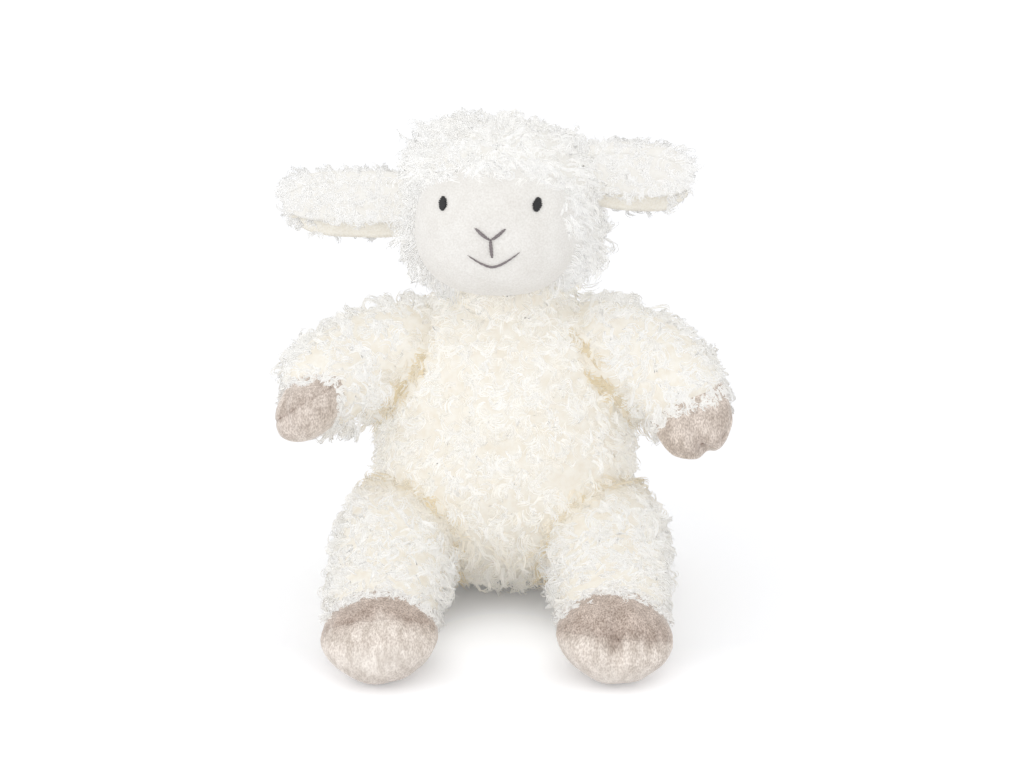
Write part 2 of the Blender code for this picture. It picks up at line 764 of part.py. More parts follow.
def arm_hoof_place(side):
    """Matrix that puts a hoof at the end of an arm, turned to its own seam line."""
    middle, across, up = (values[0] for values in arm_path(side)(np.array([ARM_LENGTH])))
    across = across * SIDES[side]
    along = np.cross(across, up)
    axes = Matrix(np.stack([across, up, along], axis=1).tolist()).to_4x4()
    twist = Matrix.Rotation(HAND_TWIST[side], 4, "Z")
    return Matrix.Translation(middle) @ axes @ twist


def leg_hoof_place(side):
    """Matrix that puts a hoof at the end of a leg, its underside just past the floor."""
    out = SIDES[side] * (FOOT_OUT[side] - HIP_OUT[side])
    height = FOOT_HALF_HEIGHT - STAND_CUT - HIP_HEIGHT
    axes = Matrix(((1, 0, 0), (0, 0, -1), (0, 1, 0))).to_4x4()
    return Matrix.Translation((out, -LEG_LENGTH, height)) @ axes


def hoof_form(name, place, size, inset):
    """A cloven hoof at its place: size is its half width, half height and half length."""
    item = shaped_ball(name, hoof_shape(*size, inset), HOOF_FACETS)
    item.data.transform(place)
    return item


def hoof_block(name, place, low, high, size, tilt=0.0):
    """A block across a hoof, between two heights and two lengths, its front tilted upwards."""
    reach = 2 * max(size)
    item = plate_form(name, (-reach, low[0], low[1]), (reach, high[0], high[1]))
    item.data.transform(place @ Matrix.Rotation(-tilt, 4, "X"))
    return item


def make_hoof(place, size, tuck, tilt, names, cloths, joint, floor=None):
    """Upper and sole panels of a hoof, meeting at its seam, open where the sleeve holds them."""
    reach = 2 * max(size)
    for name, low, high in ((names[0], -reach, GAP / 2), (names[1], -GAP / 2, reach)):
        panel = hoof_form("panel", place, size, 0)
        hollow = hoof_form("hollow", place, size, VELOUR)
        behind = hoof_block("behind", place, (-reach, -reach), (reach, -tuck), size)
        other = hoof_block("other", place, (low, -reach), (high, reach), size, tilt)
        for tool in (hollow, behind, other):
            tool.matrix_world = joint.matrix_world
        panel.matrix_world = joint.matrix_world
        cut(panel, hollow, behind, other)
        if floor is not None:
            cut(panel, floor)
        drop(hollow, behind, other)
        name_piece(panel, name, cloths["hoof"], joint)


def root_block(name, out, ball_radius):
    """A block over a limb's root in its joint's frame, up to where its filling starts."""
    reach = 2 * ball_radius
    start = FILLING_START_SHARE * ball_radius
    near = [-reach if share == 0 else -share * reach for share in out]
    far = [reach if share == 0 else share * start for share in out]
    return plate_form(name, near, far)


def make_limb(sleeve, side, place, hoof, body, swing, out, names, cloths, joint, floor=None):
    """Sleeve, filling and hoof of a limb that turns about a ball of the body and points out."""
    pivot, axis, first, last, ball_radius = swing
    size, tuck, tilt = hoof
    ball = ball_form("ball", pivot, ball_radius + TURN_GAP)
    skin = sleeve("skin", side, 0)
    hollow = sleeve("hollow", side, FLEECE, halved(LIMB_FACETS))
    filling = sleeve("filling", side, FLEECE + GAP, halved(LIMB_FACETS))
    root = root_block("root", out, ball_radius)
    hoof_room = hoof_form("hoof_room", place, size, -GAP)
    hoof_filling = hoof_form("hoof_filling", place, size, VELOUR + GAP)
    core = hoof_form("core", place, [CORE_SHARE * half for half in size], 0)
    reach = 2 * max(size)
    behind = hoof_block("behind", place, (-reach, -reach), (reach, -tuck - GAP), size)
    ahead = hoof_block("ahead", place, (-reach, -tuck - 2 * GAP), (reach, reach), size)
    near = hoof_block("near", place, (-reach, -reach), (reach, -tuck), size)
    tools = (hollow, root, hoof_room, hoof_filling, core, behind, ahead, near)
    for item in (skin, filling, *tools):
        item.matrix_world = joint.matrix_world
    cut(hoof_room, behind)
    cut(skin, hollow, hoof_room)
    cut(filling, root, ahead)
    cut(hoof_filling, near)
    join(filling, core, hoof_filling)
    cut(skin, ball)
    cut(filling, ball)
    cut_swept([skin, filling], body, pivot, axis, first, last)
    if floor is not None:
        cut(skin, floor)
    name_piece(skin, names[0], cloths["fleece"], joint)
    name_piece(filling, names[1], cloths["filling"], joint)
    drop(ball, *tools)
    make_hoof(place, size, tuck, tilt, names[2:], cloths, joint, floor)


def make_arms(cloths, joints, body):
    """Both arms, which rise and drop at the shoulders."""
    size = (HAND_HALF_WIDTH, HAND_HALF_HEIGHT, HAND_HALF_LENGTH)
    for side, sign in SIDES.items():
        swing = (shoulder(side), Vector((0, -sign, 0)), -ARM_LOWER, ARM_RAISE, SHOULDER_RADIUS)
        names = [f"arm_{side}_{part}" for part in ("fleece", "filling")]
        names += [f"hand_{side}_{part}" for part in ("upper", "sole")]
        place = arm_hoof_place(side)
        joint = joints[f"arm_{side}"]
        out = (sign, 0, 0)
        hoof = (size, HAND_TUCK, HAND_SEAM_TILT[side])
        make_limb(arm_sleeve, side, place, hoof, body, swing, out, names, cloths, joint)


def make_legs(cloths, joints, body):
    """Both legs, which swing at the hips and lie on the floor when the lamb sits."""
    size = (FOOT_HALF_WIDTH, FOOT_HALF_HEIGHT, FOOT_HALF_LENGTH)
    floor = below_floor()
    for side in SIDES:
        swing = (hip(side), Vector((-1, 0, 0)), -LEG_LOWER, LEG_RAISE, HIP_RADIUS)
        names = [f"leg_{side}_{part}" for part in ("fleece", "filling")]
        names += [f"foot_{side}_{part}" for part in ("upper", "sole")]
        place = leg_hoof_place(side)
        joint = joints[f"leg_{side}"]
        out = (0, -1, 0)
        hoof = (size, FOOT_TUCK, FOOT_SEAM_TILT[side])
        make_limb(leg_sleeve, side, place, hoof, body, swing, out, names, cloths, joint, floor)
    drop(floor)


def make_tail(cloths, joint, body):
    """The short tail, with its ball in a socket of the back."""
    root = tail_root()

    def shape(ball):
        full = fuller(ball, TAIL_POWER, 2)
        along = (full[:, 2] + 1) / 2
        radius = TAIL_RADIUS * share_at(TAIL_SHARES, along)
        length = along * TAIL_LENGTH
        return np.stack([full[:, 0] * radius, full[:, 1] * radius, -length], axis=1)

    tail = shaped_ball("tail", shape, SMALL_FACETS)
    tail.matrix_world = Matrix.Translation(root) @ Matrix.Rotation(math.pi / 2 - TAIL_HANG, 4, "X")
    ball = ball_form("tail_ball", root, TAIL_BALL_RADIUS)
    cut_swept([tail], body, root, Vector((1, 0, 0)), 0, TAIL_LIFT)
    join(tail, ball)
    drop(ball)
    name_piece(tail, "tail", cloths["fleece"], joint)


def make_joints():
    """An empty on the axis of each joint."""
    joints = {"neck": joint_empty("neck_joint", neck())}
    joints["head"] = joint_empty("head_joint", neck(), Euler((0, 0, HEAD_YAW)), joints["neck"])
    turn = Matrix.Rotation(HEAD_YAW, 4, "Z")
    for side, sign in SIDES.items():
        place = turn @ ear_root(side)
        ear_turn = Euler((0, 0, HEAD_YAW))
        joints[f"ear_{side}"] = joint_empty(f"ear_{side}_joint", place, ear_turn, joints["head"])
        arm_turn = Euler((ARM_ROLL[side], sign * ARM_DIP[side], 0))
        joints[f"arm_{side}"] = joint_empty(f"arm_{side}_joint", shoulder(side), arm_turn)
        joints[f"leg_{side}"] = joint_empty(f"leg_{side}_joint", hip(side))
    joints["tail"] = joint_empty("tail_joint", tail_root())
    return joints


def main():
    """Builds every piece of the lamb."""
    clear_scene()
    cloths = paint()
    joints = make_joints()
    make_torso(cloths)
    make_neck(cloths, joints)
    make_head(cloths, joints)
    make_ears(cloths, joints)
    body = torso_form("body_cutter", -SWEEP_GAP)
    make_arms(cloths, joints, body)
    make_legs(cloths, joints, body)
    make_tail(cloths, joints["tail"], body)
    drop(body)


main()
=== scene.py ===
# %% [markdown]
# # A plush lamb in curly wool
# The lamb is a stuffed toy: bags of curly pile cloth over soft filling, a smooth velour face,
# folded ears, and hooves of two velour panels each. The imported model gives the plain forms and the
# joints. This lesson dresses them: every form gets a backing skin, and thousands of curled locks
# grow out of it, because at this size wool is seen as single wisps and not as a bumpy surface.

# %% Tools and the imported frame
import math

import bpy
import numpy as np
from mathutils import Matrix, Vector


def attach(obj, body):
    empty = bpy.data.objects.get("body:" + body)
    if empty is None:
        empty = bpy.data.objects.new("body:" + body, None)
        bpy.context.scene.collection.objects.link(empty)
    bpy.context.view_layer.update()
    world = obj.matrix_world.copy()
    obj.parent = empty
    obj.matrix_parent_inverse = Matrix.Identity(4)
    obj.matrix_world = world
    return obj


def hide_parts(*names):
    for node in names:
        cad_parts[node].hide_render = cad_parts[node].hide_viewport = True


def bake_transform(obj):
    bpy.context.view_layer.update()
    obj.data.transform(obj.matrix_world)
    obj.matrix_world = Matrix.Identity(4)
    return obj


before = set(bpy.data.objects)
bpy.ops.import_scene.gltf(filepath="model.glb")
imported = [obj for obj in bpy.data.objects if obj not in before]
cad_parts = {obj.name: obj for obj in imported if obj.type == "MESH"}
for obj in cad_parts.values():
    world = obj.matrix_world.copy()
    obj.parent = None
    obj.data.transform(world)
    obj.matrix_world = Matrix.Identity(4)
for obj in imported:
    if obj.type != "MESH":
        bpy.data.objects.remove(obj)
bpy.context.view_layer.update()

# %% [markdown]
# ## The camera
# A product picture is taken from some way off with a long lens, so that nothing bulges. The lamb
# is seen from 18 degrees above, from a little over a metre away. The lens could be found by trial,
# but it also follows from how many pixels of the picture one metre takes at the lamb's distance.

# %% Camera
VIEW_HEIGHT = math.radians(18)
VIEW_DISTANCE = 1.25
VIEW_TARGET = Vector((0.0005, 0, 0.1095))
PIXELS_PER_METRE = 1950
PICTURE_WIDTH = 1011

camera_data = bpy.data.cameras.new("camera")
camera_data.sensor_width = 36
camera_data.lens = camera_data.sensor_width * PIXELS_PER_METRE * VIEW_DISTANCE / PICTURE_WIDTH
camera_data.clip_start = 0.05
camera = bpy.data.objects.new("camera", camera_data)
bpy.context.scene.collection.objects.link(camera)
toward_camera = Vector((0, -math.cos(VIEW_HEIGHT), math.sin(VIEW_HEIGHT)))
camera.location = VIEW_TARGET + toward_camera * VIEW_DISTANCE
camera.rotation_euler = (-toward_camera).to_track_quat("-Z", "Y").to_euler()
bpy.context.scene.camera = camera
print("lens", round(camera_data.lens, 1), "mm")

# %% [markdown]
# ## Helpers for meshes
# A mesh could be pulled into shape by hand or with modifiers. Here each shape is a formula, worked
# out for all its points at once, so that a size can be changed and the piece made again. These
# helpers turn arrays of points into smooth meshes: any list of triangles and quads, or a grid of
# rings that closes at both ends.

# %% Mesh helpers
rng = np.random.default_rng(11)


def unit(vectors):
    """Each vector divided by its own length."""
    return vectors / np.maximum(np.linalg.norm(vectors, axis=-1, keepdims=True), 1e-12)


def new_piece(name, points, faces, material):
    """A smooth mesh from points and a list of face arrays, each row the corners of one face."""
    mesh = bpy.data.meshes.new(name)
    corners = np.concatenate([part.ravel() for part in faces]).astype(np.int32)
    sizes = np.concatenate([np.full(len(part), part.shape[1]) for part in faces])
    starts = np.concatenate([[0], np.cumsum(sizes)[:-1]]).astype(np.int32)
    mesh.vertices.add(len(points))
    mesh.vertices.foreach_set("co", points.astype(np.float32).ravel())
    mesh.loops.add(len(corners))
    mesh.loops.foreach_set("vertex_index", corners)
    mesh.polygons.add(len(sizes))
    mesh.polygons.foreach_set("loop_start", starts)
    mesh.update(calc_edges=True)
    mesh.polygons.foreach_set("use_smooth", np.ones(len(sizes), bool))
    mesh.materials.append(material)
    piece = bpy.data.objects.new(name, mesh)
    bpy.context.scene.collection.objects.link(piece)
    return piece


def outward(points, faces):
    """The faces, each turned round if the signed volume they enclose comes out negative."""
    first = faces[0]
    a, b, c = points[first[:, 0]], points[first[:, 1]], points[first[:, 2]]
    centre = points.mean(axis=0)
    volume = np.einsum("ij,ij->i", a - centre, np.cross(b - centre, c - centre)).sum()
    return faces if volume > 0 else [part[:, ::-1] for part in faces]


# %% Closed skins
def closed_skin(name, rows, material):
    """A skin over rows of rings. The first and last row are single points: the two poles."""
    along, around = rows.shape[0] - 2, rows.shape[1]
    points = np.concatenate([rows[1:-1].reshape(-1, 3), rows[:1, 0], rows[-1:, 0]])
    ring = np.arange(around)
    after = (ring + 1) % around
    base = (np.arange(along - 1) * around)[:, None]
    quads = np.stack([base + ring, base + after, base + around + after, base + around + ring], axis=-1)
    south, north = along * around, along * around + 1
    top = (along - 1) * around
    low_fan = np.stack([np.full(around, south), after, ring], axis=-1)
    high_fan = np.stack([np.full(around, north), top + ring, top + after], axis=-1)
    faces = [quads.reshape(-1, 4), np.concatenate([low_fan, high_fan])]
    return new_piece(name, points, outward(points, faces), material)


def ball_rows(around, along):
    """Points of a unit ball in rows, from its south pole to its north pole."""
    up = np.linspace(-math.pi / 2, math.pi / 2, along + 1)[:, None]
    turn = np.linspace(0, 2 * math.pi, around, endpoint=False)[None, :]
    flat = np.cos(up) * np.ones_like(turn)
    return np.stack([flat * np.cos(turn), flat * np.sin(turn), np.sin(up) * np.ones_like(turn)], axis=-1)


def point_values(piece, label, values):
    """Gives every point of a piece a number, which its material reads by the label."""
    attribute = piece.data.attributes.new(label, "FLOAT", "POINT")
    attribute.data.foreach_set("value", values.astype(np.float32))


# %% [markdown]
# ## What a piece stands for
# The imported model has hard solids. A soft piece made here takes the place of one or more of them
# and rides on a body. A piece that would be blended between two bodies, as cloth is that is sewn
# over a seam, only has its place baked in here. One helper does this and hides the solids it replaces.


def dress(piece, body, *nodes, slot=None, blend=None, padded=True):
    """Ties a piece to its body, or only bakes its place where a blend is given, and hides the solids it
    stands for; slot and padded are not used.
    """
    if blend:
        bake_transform(piece)
    else:
        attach(piece, body)
    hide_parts(*nodes)
    print(piece.name, len(piece.data.polygons), "faces, in place of", ", ".join(nodes))


# %% [markdown]
# ## The stuffed forms
# Filling pushes cloth into blunt, rounded shapes, so body, head, limbs and hooves are all blunt
# eggs. They could be sculpted, but a formula serves twice. A unit ball is made fuller by a power
# over 2 and widened by a table of shares along its height. The same formula, read backwards,
# tells how deep a point lies in a form, so no lock is rooted inside a neighbour.


# %% Blunt eggs
def eased(share):
    """A share from 0 to 1 with a soft start and end: three times its square less twice its cube."""
    return share * share * (3 - 2 * share)


def fade(values, start, width):
    """0 up to a start, 1 from a width past it, straight between; a negative width runs downwards."""
    return np.clip((values - start) / width, 0, 1)


def share_at(shares, along):
    """Smooth value of a table of shares, from along = 0 at its first to 1 at its last."""
    table = np.asarray(shares)
    place = np.clip(along, 0.0, 1.0) * (len(table) - 1)
    first = np.minimum(place.astype(int), len(table) - 2)
    part = place - first
    before, start = table[np.maximum(first - 1, 0)], table[first]
    end, after = table[first + 1], table[np.minimum(first + 2, len(table) - 1)]
    turn = eased(part)
    lean = part * (1 - part) ** 2 * (end - before) / 2 - part**2 * (1 - part) * (after - start) / 2
    return start + (end - start) * turn + lean


def ring_size(height, power):
    """Radius of a blunt ball at a height from -1 to 1."""
    return (1 - np.minimum(np.abs(height), 1) ** power) ** (1 / power)


def fuller(ball, end_power, round_power):
    """Unit ball points made blunter along Z and squarer round it."""
    ring = ring_size(ball[..., 2], end_power)
    angle = np.arctan2(ball[..., 1], ball[..., 0])
    across, up = np.cos(angle), np.sin(angle)
    size = (np.abs(across) ** round_power + np.abs(up) ** round_power) ** (-1 / round_power)
    return np.stack([ring * across * size, ring * up * size, ball[..., 2]], axis=-1)


def filled(x, y, height, end_power, round_power):
    """How far out of a form a point lies: under 1 inside it, 1 on its skin."""
    ring = np.maximum(ring_size(height, end_power), 1e-6)
    size = (np.abs(x) ** round_power + np.abs(y) ** round_power) ** (1 / round_power)
    return np.where(np.abs(height) < 1, size / ring, 9.0)


# %% Body form
PILE = 0.0046  # from the backing to the face of the wool
SUNK = 0.0005  # how far a soft form would sit below the floor
BODY_HEIGHT, BODY_WIDTH, BODY_DEPTH = 0.1605, 0.0675, 0.0550
BODY_WIDTHS, BODY_DEPTHS = (0.96, 0.99, 1.00, 0.90, 0.78), (0.92, 1.00, 0.98, 0.84, 0.72)
BODY_POWERS = (3.5, 2.15)
BELLY_RISE, BELLY_START, BELLY_REACH = 0.0055, 0.006, 0.049  # the seat's front, between the legs


def body_sizes(along, inset):
    """Half width and half depth of the body, at shares of its height."""
    width = BODY_WIDTH * share_at(BODY_WIDTHS, along) - inset
    return width, BODY_DEPTH * share_at(BODY_DEPTHS, along) - inset


def body_form(ball, inset):
    """Broad flat seat, its front drawn up, full belly and narrow shoulders."""
    full = fuller(ball, *BODY_POWERS)
    along = (full[..., 2] + 1) / 2
    width, depth = body_sizes(along, inset)
    height = along * (BODY_HEIGHT - 2 * inset) + inset - SUNK
    height = height + BELLY_RISE * fade(-full[..., 1] * depth, BELLY_START, BELLY_REACH) * (1 - along) ** 5
    return np.stack([full[..., 0] * width, full[..., 1] * depth, height], axis=-1)


def in_body(points, inset):
    """How far out of the body a point lies."""
    along = (points[..., 2] - inset + SUNK) / (BODY_HEIGHT - 2 * inset)
    width, depth = body_sizes(along, inset)
    return filled(points[..., 0] / width, points[..., 1] / depth, along * 2 - 1, *BODY_POWERS)


# %% Head and face forms
HEAD_TURN = math.radians(-7)
HEAD_MIDDLE, HEAD_HALF = np.array([0, -0.0040, 0.2040]), np.array([0.0490, 0.0480, 0.0418])
HEAD_WIDTHS, HEAD_POWERS = (1.00, 1.02, 1.00, 0.94, 0.82), (3.0, 2.2)
FACE_MIDDLE, FACE_HALF = np.array([0, -0.0300, 0.1985]), np.array([0.0400, 0.0330, 0.0335])
FACE_POWER = 2.4
head_axes = np.array(Matrix.Rotation(HEAD_TURN, 3, "Z"))


def from_head(points):
    """Points of the head's own frame, in the lamb's frame."""
    return points @ head_axes.T


def into_head(points):
    """Points of the lamb's frame, in the head's own."""
    return points @ head_axes


def head_form(ball, inset):
    """The round head, broad at the cheeks."""
    full = fuller(ball, *HEAD_POWERS)
    half = HEAD_HALF - inset
    wide = share_at(HEAD_WIDTHS, (full[..., 2] + 1) / 2)
    own = full * half
    own[..., 0] *= wide
    return from_head(own + HEAD_MIDDLE)


def in_head(points, inset):
    """How far out of the head a point lies."""
    own = (into_head(points) - HEAD_MIDDLE) / (HEAD_HALF - inset)
    wide = share_at(HEAD_WIDTHS, (own[..., 2] + 1) / 2)
    return filled(own[..., 0] / wide, own[..., 1], own[..., 2], *HEAD_POWERS)


def in_face(points, inset):
    """How far out of the face a point lies."""
    own = (into_head(points) - FACE_MIDDLE) / (FACE_HALF - inset)
    return filled(own[..., 0], own[..., 1], own[..., 2], FACE_POWER, FACE_POWER)


# %% Limbs along their length
SIDES = {"left": 1, "right": -1}
SLEEVE_POWER = 5.0
ARM = {"length": 0.0700, "behind": 0.0120, "tuck": 0.0060, "radius": 0.0270}
LEG = {"length": 0.0940, "behind": 0.0240, "tuck": 0.0060, "width": 0.0300, "height": 0.0270}
SHOULDER = {side: np.array([sign * 0.0400, -0.0020, 0.1280]) for side, sign in SIDES.items()}
HIP = {"left": np.array([0.0500, -0.0260, 0.0345]), "right": np.array([-0.0530, -0.0260, 0.0345])}


def limb_span(limb, inset):
    """Whole length of a limb, from behind its joint to its tuck in the hoof."""
    return limb["length"] + limb["tuck"] + limb["behind"] - 2 * inset


def length_along(limb, height, inset):
    """Length from the joint, for a height from -1 to 1 in the unit ball."""
    return (height + 1) / 2 * limb_span(limb, inset) + inset - limb["behind"]


def height_along(limb, length, inset):
    """The same read backwards: the height in the unit ball, for a length from the joint."""
    return (length + limb["behind"] - inset) / limb_span(limb, inset) * 2 - 1


# %% Arm form
ARM_SHARES = (1.06, 1.05, 1.01, 1.00, 0.99)
ARM_BEND = {"left": math.radians(75), "right": math.radians(65)}
ARM_ROLL = {"left": math.radians(45), "right": math.radians(25)}
ARM_DIP = {"left": math.radians(-3), "right": math.radians(3)}
BEND_RADIUS = {side: ARM["length"] / ARM_BEND[side] for side in SIDES}


def arm_axes(side):
    """Axes of an arm's own frame, as columns: rolled about X, then dipped about Y."""
    dip = Matrix.Rotation(SIDES[side] * ARM_DIP[side], 3, "Y")
    return np.array(dip @ Matrix.Rotation(ARM_ROLL[side], 3, "X"))


def arm_line(side, length):
    """Middle, across and up of an arm at lengths along its bend, in its own frame."""
    radius = BEND_RADIUS[side]
    angle = np.minimum(length, ARM["length"]) / radius
    past = np.maximum(length - ARM["length"], 0)
    out = radius * np.sin(angle) + past * np.cos(angle)
    forth = radius * (1 - np.cos(angle)) + past * np.sin(angle)
    zero = np.zeros_like(angle)
    middle = np.stack([SIDES[side] * out, -forth, zero], axis=-1)
    across = np.stack([SIDES[side] * np.sin(angle), np.cos(angle), zero], axis=-1)
    return middle, across, np.stack([zero, zero, zero + 1], axis=-1)


def arm_radius(length, inset):
    """Radius of an arm at lengths from its shoulder."""
    return ARM["radius"] * share_at(ARM_SHARES, length / ARM["length"]) - inset


def arm_form(side):
    """Form of an arm: a blunt tube along its bend."""

    def form(ball, inset):
        """Middle line + radius times the blunt ball's two other places, across and up."""
        full = fuller(ball, SLEEVE_POWER, 2)
        length = length_along(ARM, full[..., 2], inset)
        middle, across, up = arm_line(side, length)
        radius = arm_radius(length, inset)
        own = middle + across * (radius * full[..., 0])[..., None]
        own = own + up * (radius * full[..., 1])[..., None]
        return own @ arm_axes(side).T + SHOULDER[side]

    return form


# %% Points against an arm
def in_arm(side):
    """How far out of an arm a point lies, from its place round the bend's centre or past its end."""

    def test(points, inset):
        """Length along the bend from the angle round its centre, aside from the distance to it."""
        own = (points - SHOULDER[side]) @ arm_axes(side)
        radius, end = BEND_RADIUS[side], ARM_BEND[side]
        out, forth = SIDES[side] * own[..., 0], -own[..., 1]
        angle = np.arctan2(out, radius - forth)
        end_out, end_forth = out - radius * math.sin(end), forth - radius * (1 - math.cos(end))
        past = end_out * math.cos(end) + end_forth * math.sin(end)
        aside_end = end_forth * math.cos(end) - end_out * math.sin(end)
        length = np.where(angle > end, ARM["length"] + past, angle * radius)
        aside = np.where(angle > end, aside_end, radius - np.hypot(out, radius - forth))
        half = arm_radius(length, inset)
        height = height_along(ARM, length, inset)
        return filled(aside / half, own[..., 2] / half, height, SLEEVE_POWER, 2)

    return test


# %% Leg form
LEG_WIDTHS, LEG_HEIGHTS = (1.14, 1.10, 1.03, 1.00, 1.00), (1.27, 1.19, 1.04, 0.92, 0.84)
LEG_DRIFT = {"left": 0.0026, "right": 0.0064}  # outwards, from hip to foot
LEG_LIFT = 0.0008  # of a leg's underside over the floor


def leg_sizes(side, length, inset):
    """Middle across, middle up, half width and half height of a leg at lengths along it."""
    share = length / LEG["length"]
    tall = LEG["height"] * share_at(LEG_HEIGHTS, share)
    wide = LEG["width"] * share_at(LEG_WIDTHS, share) - inset
    across = HIP[side][0] + SIDES[side] * LEG_DRIFT[side] * share
    return across, LEG_LIFT + tall, wide, tall - inset


def leg_form(side):
    """Form of a leg: a blunt tube forwards along the floor, thick at the thigh."""

    def form(ball, inset):
        """Middle + half width and half height times the blunt ball's two other places."""
        full = fuller(ball, SLEEVE_POWER, 2)
        length = length_along(LEG, full[..., 2], inset)
        across, up, wide, tall = leg_sizes(side, length, inset)
        places = [across + wide * full[..., 0], HIP[side][1] - length, up + tall * full[..., 1]]
        return np.stack(places, axis=-1)

    return form


def in_leg(side):
    """How far out of a leg a point lies."""

    def test(points, inset):
        """Place across and up, each divided by the leg's half size there."""
        length = HIP[side][1] - points[..., 1]
        across, up, wide, tall = leg_sizes(side, length, inset)
        wide, tall = (points[..., 0] - across) / wide, (points[..., 2] - up) / tall
        return filled(wide, tall, height_along(LEG, length, inset), SLEEVE_POWER, 2)

    return test


# %% Hoof forms
HOOF_POWERS = (2.3, 1.75)
HAND_HALF, FOOT_HALF = np.array([0.0205, 0.0148, 0.0255]), np.array([0.0280, 0.0208, 0.0290])
HAND_TWIST = {"left": math.radians(18), "right": math.radians(46)}
SEAM_TILT = {"hand_left": 6, "hand_right": 20, "foot_left": 20, "foot_right": 40}  # degrees, front up


def hand_place(side):
    """Axes, as columns, and middle of a hand's hoof: at the arm's end, turned by its twist."""
    middle, across, up = (value[0] for value in arm_line(side, np.array([ARM["length"]])))
    across = across * SIDES[side]
    twist = np.array(Matrix.Rotation(HAND_TWIST[side], 3, "Z"))
    axes = arm_axes(side) @ np.stack([across, up, np.cross(across, up)], axis=1) @ twist
    return axes, arm_axes(side) @ middle + SHOULDER[side]


def foot_place(side):
    """Axes, as columns, and middle of a foot's hoof: forwards, its underside on the floor."""
    out = HIP[side][0] + SIDES[side] * LEG_DRIFT[side]
    axes = np.array([[1.0, 0, 0], [0, 0, -1.0], [0, 1.0, 0]])
    return axes, np.array([out, HIP[side][1] - LEG["length"], FOOT_HALF[1] - SUNK])


def in_hoof(place, half):
    """How far out of a hoof a point lies."""
    axes, middle = place

    def test(points, inset):
        """Place in the hoof's own axes, divided by its half sizes."""
        own = (points - middle) @ axes / (half - inset)
        return filled(own[..., 0], own[..., 1], own[..., 2], *HOOF_POWERS)

    return test


insides = {"body": in_body, "head": in_head, "face": in_face}
insides |= {f"arm_{side}": in_arm(side) for side in SIDES}
insides |= {f"leg_{side}": in_leg(side) for side in SIDES}
insides |= {f"hand_{side}": in_hoof(hand_place(side), HAND_HALF) for side in SIDES}
insides |= {f"foot_{side}": in_hoof(foot_place(side), FOOT_HALF) for side in SIDES}
print("forms", ", ".join(insides))

# %% [markdown]
# ## Materials
# The toy has four finishes: curly wool, the woven backing between its locks, short velour and
# embroidery thread. A photograph of cloth could be laid on each, but nodes alone stay sharp at
# every size. Fibres carry two numbers for their material: "tone" is a fibre's own shade, and
# "deep" is how far it sits in a crease or a valley between tufts. Light that bounces between real
# locks turns such places golden, but these locks are left out of bounced light, so the golden is
# painted shade in their colour.


# %% Material helpers
def material_of(name, roughness, specular=0.5, sheen=0.0, sheen_roughness=0.5):
    """A new material with its node tree and its shader, which gets these plain values."""
    material = bpy.data.materials.new(name)
    material.use_nodes = True
    shader = material.node_tree.nodes["Principled BSDF"]
    sockets = ("Roughness", "Specular IOR Level", "Sheen Weight", "Sheen Roughness")
    for socket, value in zip(sockets, (roughness, specular, sheen, sheen_roughness)):
        shader.inputs[socket].default_value = value
    return material, material.node_tree, shader


def ramp(tree, source, *stops):
    """A colour ramp over a value: each stop is a place and a colour."""
    node = tree.nodes.new("ShaderNodeValToRGB")
    bar = node.color_ramp
    while len(bar.elements) < len(stops):
        bar.elements.new(0.5)
    for element, (place, colour) in zip(bar.elements, stops):
        element.position = place
        element.color = (*colour, 1)
    tree.links.new(source, node.inputs["Fac"])
    return node.outputs["Color"]


def blended(tree, share, first, second, kind="MIX"):
    """Mix of two colours, each an output or a tuple, by a share that is an output or a number."""
    node = tree.nodes.new("ShaderNodeMix")
    node.data_type = "RGBA"
    node.blend_type = kind
    for place, value in ((0, share), (6, first), (7, second)):
        if isinstance(value, bpy.types.NodeSocket):
            tree.links.new(value, node.inputs[place])
        else:
            node.inputs[place].default_value = (*value, 1) if isinstance(value, tuple) else value
    return node.outputs[2]


def times(tree, first, second):
    """One colour multiplied by another."""
    return blended(tree, 1.0, first, second, "MULTIPLY")


# %% Values for materials
def number(tree, name):
    """The value of a point attribute."""
    node = tree.nodes.new("ShaderNodeAttribute")
    node.attribute_name = name
    return node.outputs["Fac"]


def noise(tree, vector, scale, detail=3.0):
    """A noise value over coordinates."""
    node = tree.nodes.new("ShaderNodeTexNoise")
    node.inputs["Scale"].default_value = scale
    node.inputs["Detail"].default_value = detail
    tree.links.new(vector, node.inputs["Vector"])
    return node.outputs["Fac"]


def coordinates(tree):
    """The Object coordinates of the piece."""
    return tree.nodes.new("ShaderNodeTexCoord").outputs["Object"]


def bumped(tree, shader, height, strength, distance):
    """Gives the shader a bump from a height."""
    node = tree.nodes.new("ShaderNodeBump")
    node.inputs["Strength"].default_value = strength
    node.inputs["Distance"].default_value = distance
    tree.links.new(height, node.inputs["Height"])
    tree.links.new(node.outputs["Normal"], shader.inputs["Normal"])


# %% Wool
WHITE = (1, 1, 1)
# Painted shade: the wool's own colour is multiplied by this golden colour in creases and valleys.
CREASE_SHADE_COLOUR = (0.79, 0.67, 0.46)  # what the deepest crease multiplies the wool by


def wool(name, shade, body, light):
    """Fibres of many close tones, with golden painted shade where they sit deep in a crease or a valley, and
    a soft sheen.
    """
    material, tree, shader = material_of(name, 0.80, 0.25, 0.6)
    own = ramp(tree, number(tree, "tone"), (0.0, shade), (0.45, body), (1.0, light))
    deep = ramp(tree, number(tree, "deep"), (0.0, WHITE), (1.0, CREASE_SHADE_COLOUR))
    tree.links.new(times(tree, own, deep), shader.inputs["Base Color"])
    return material


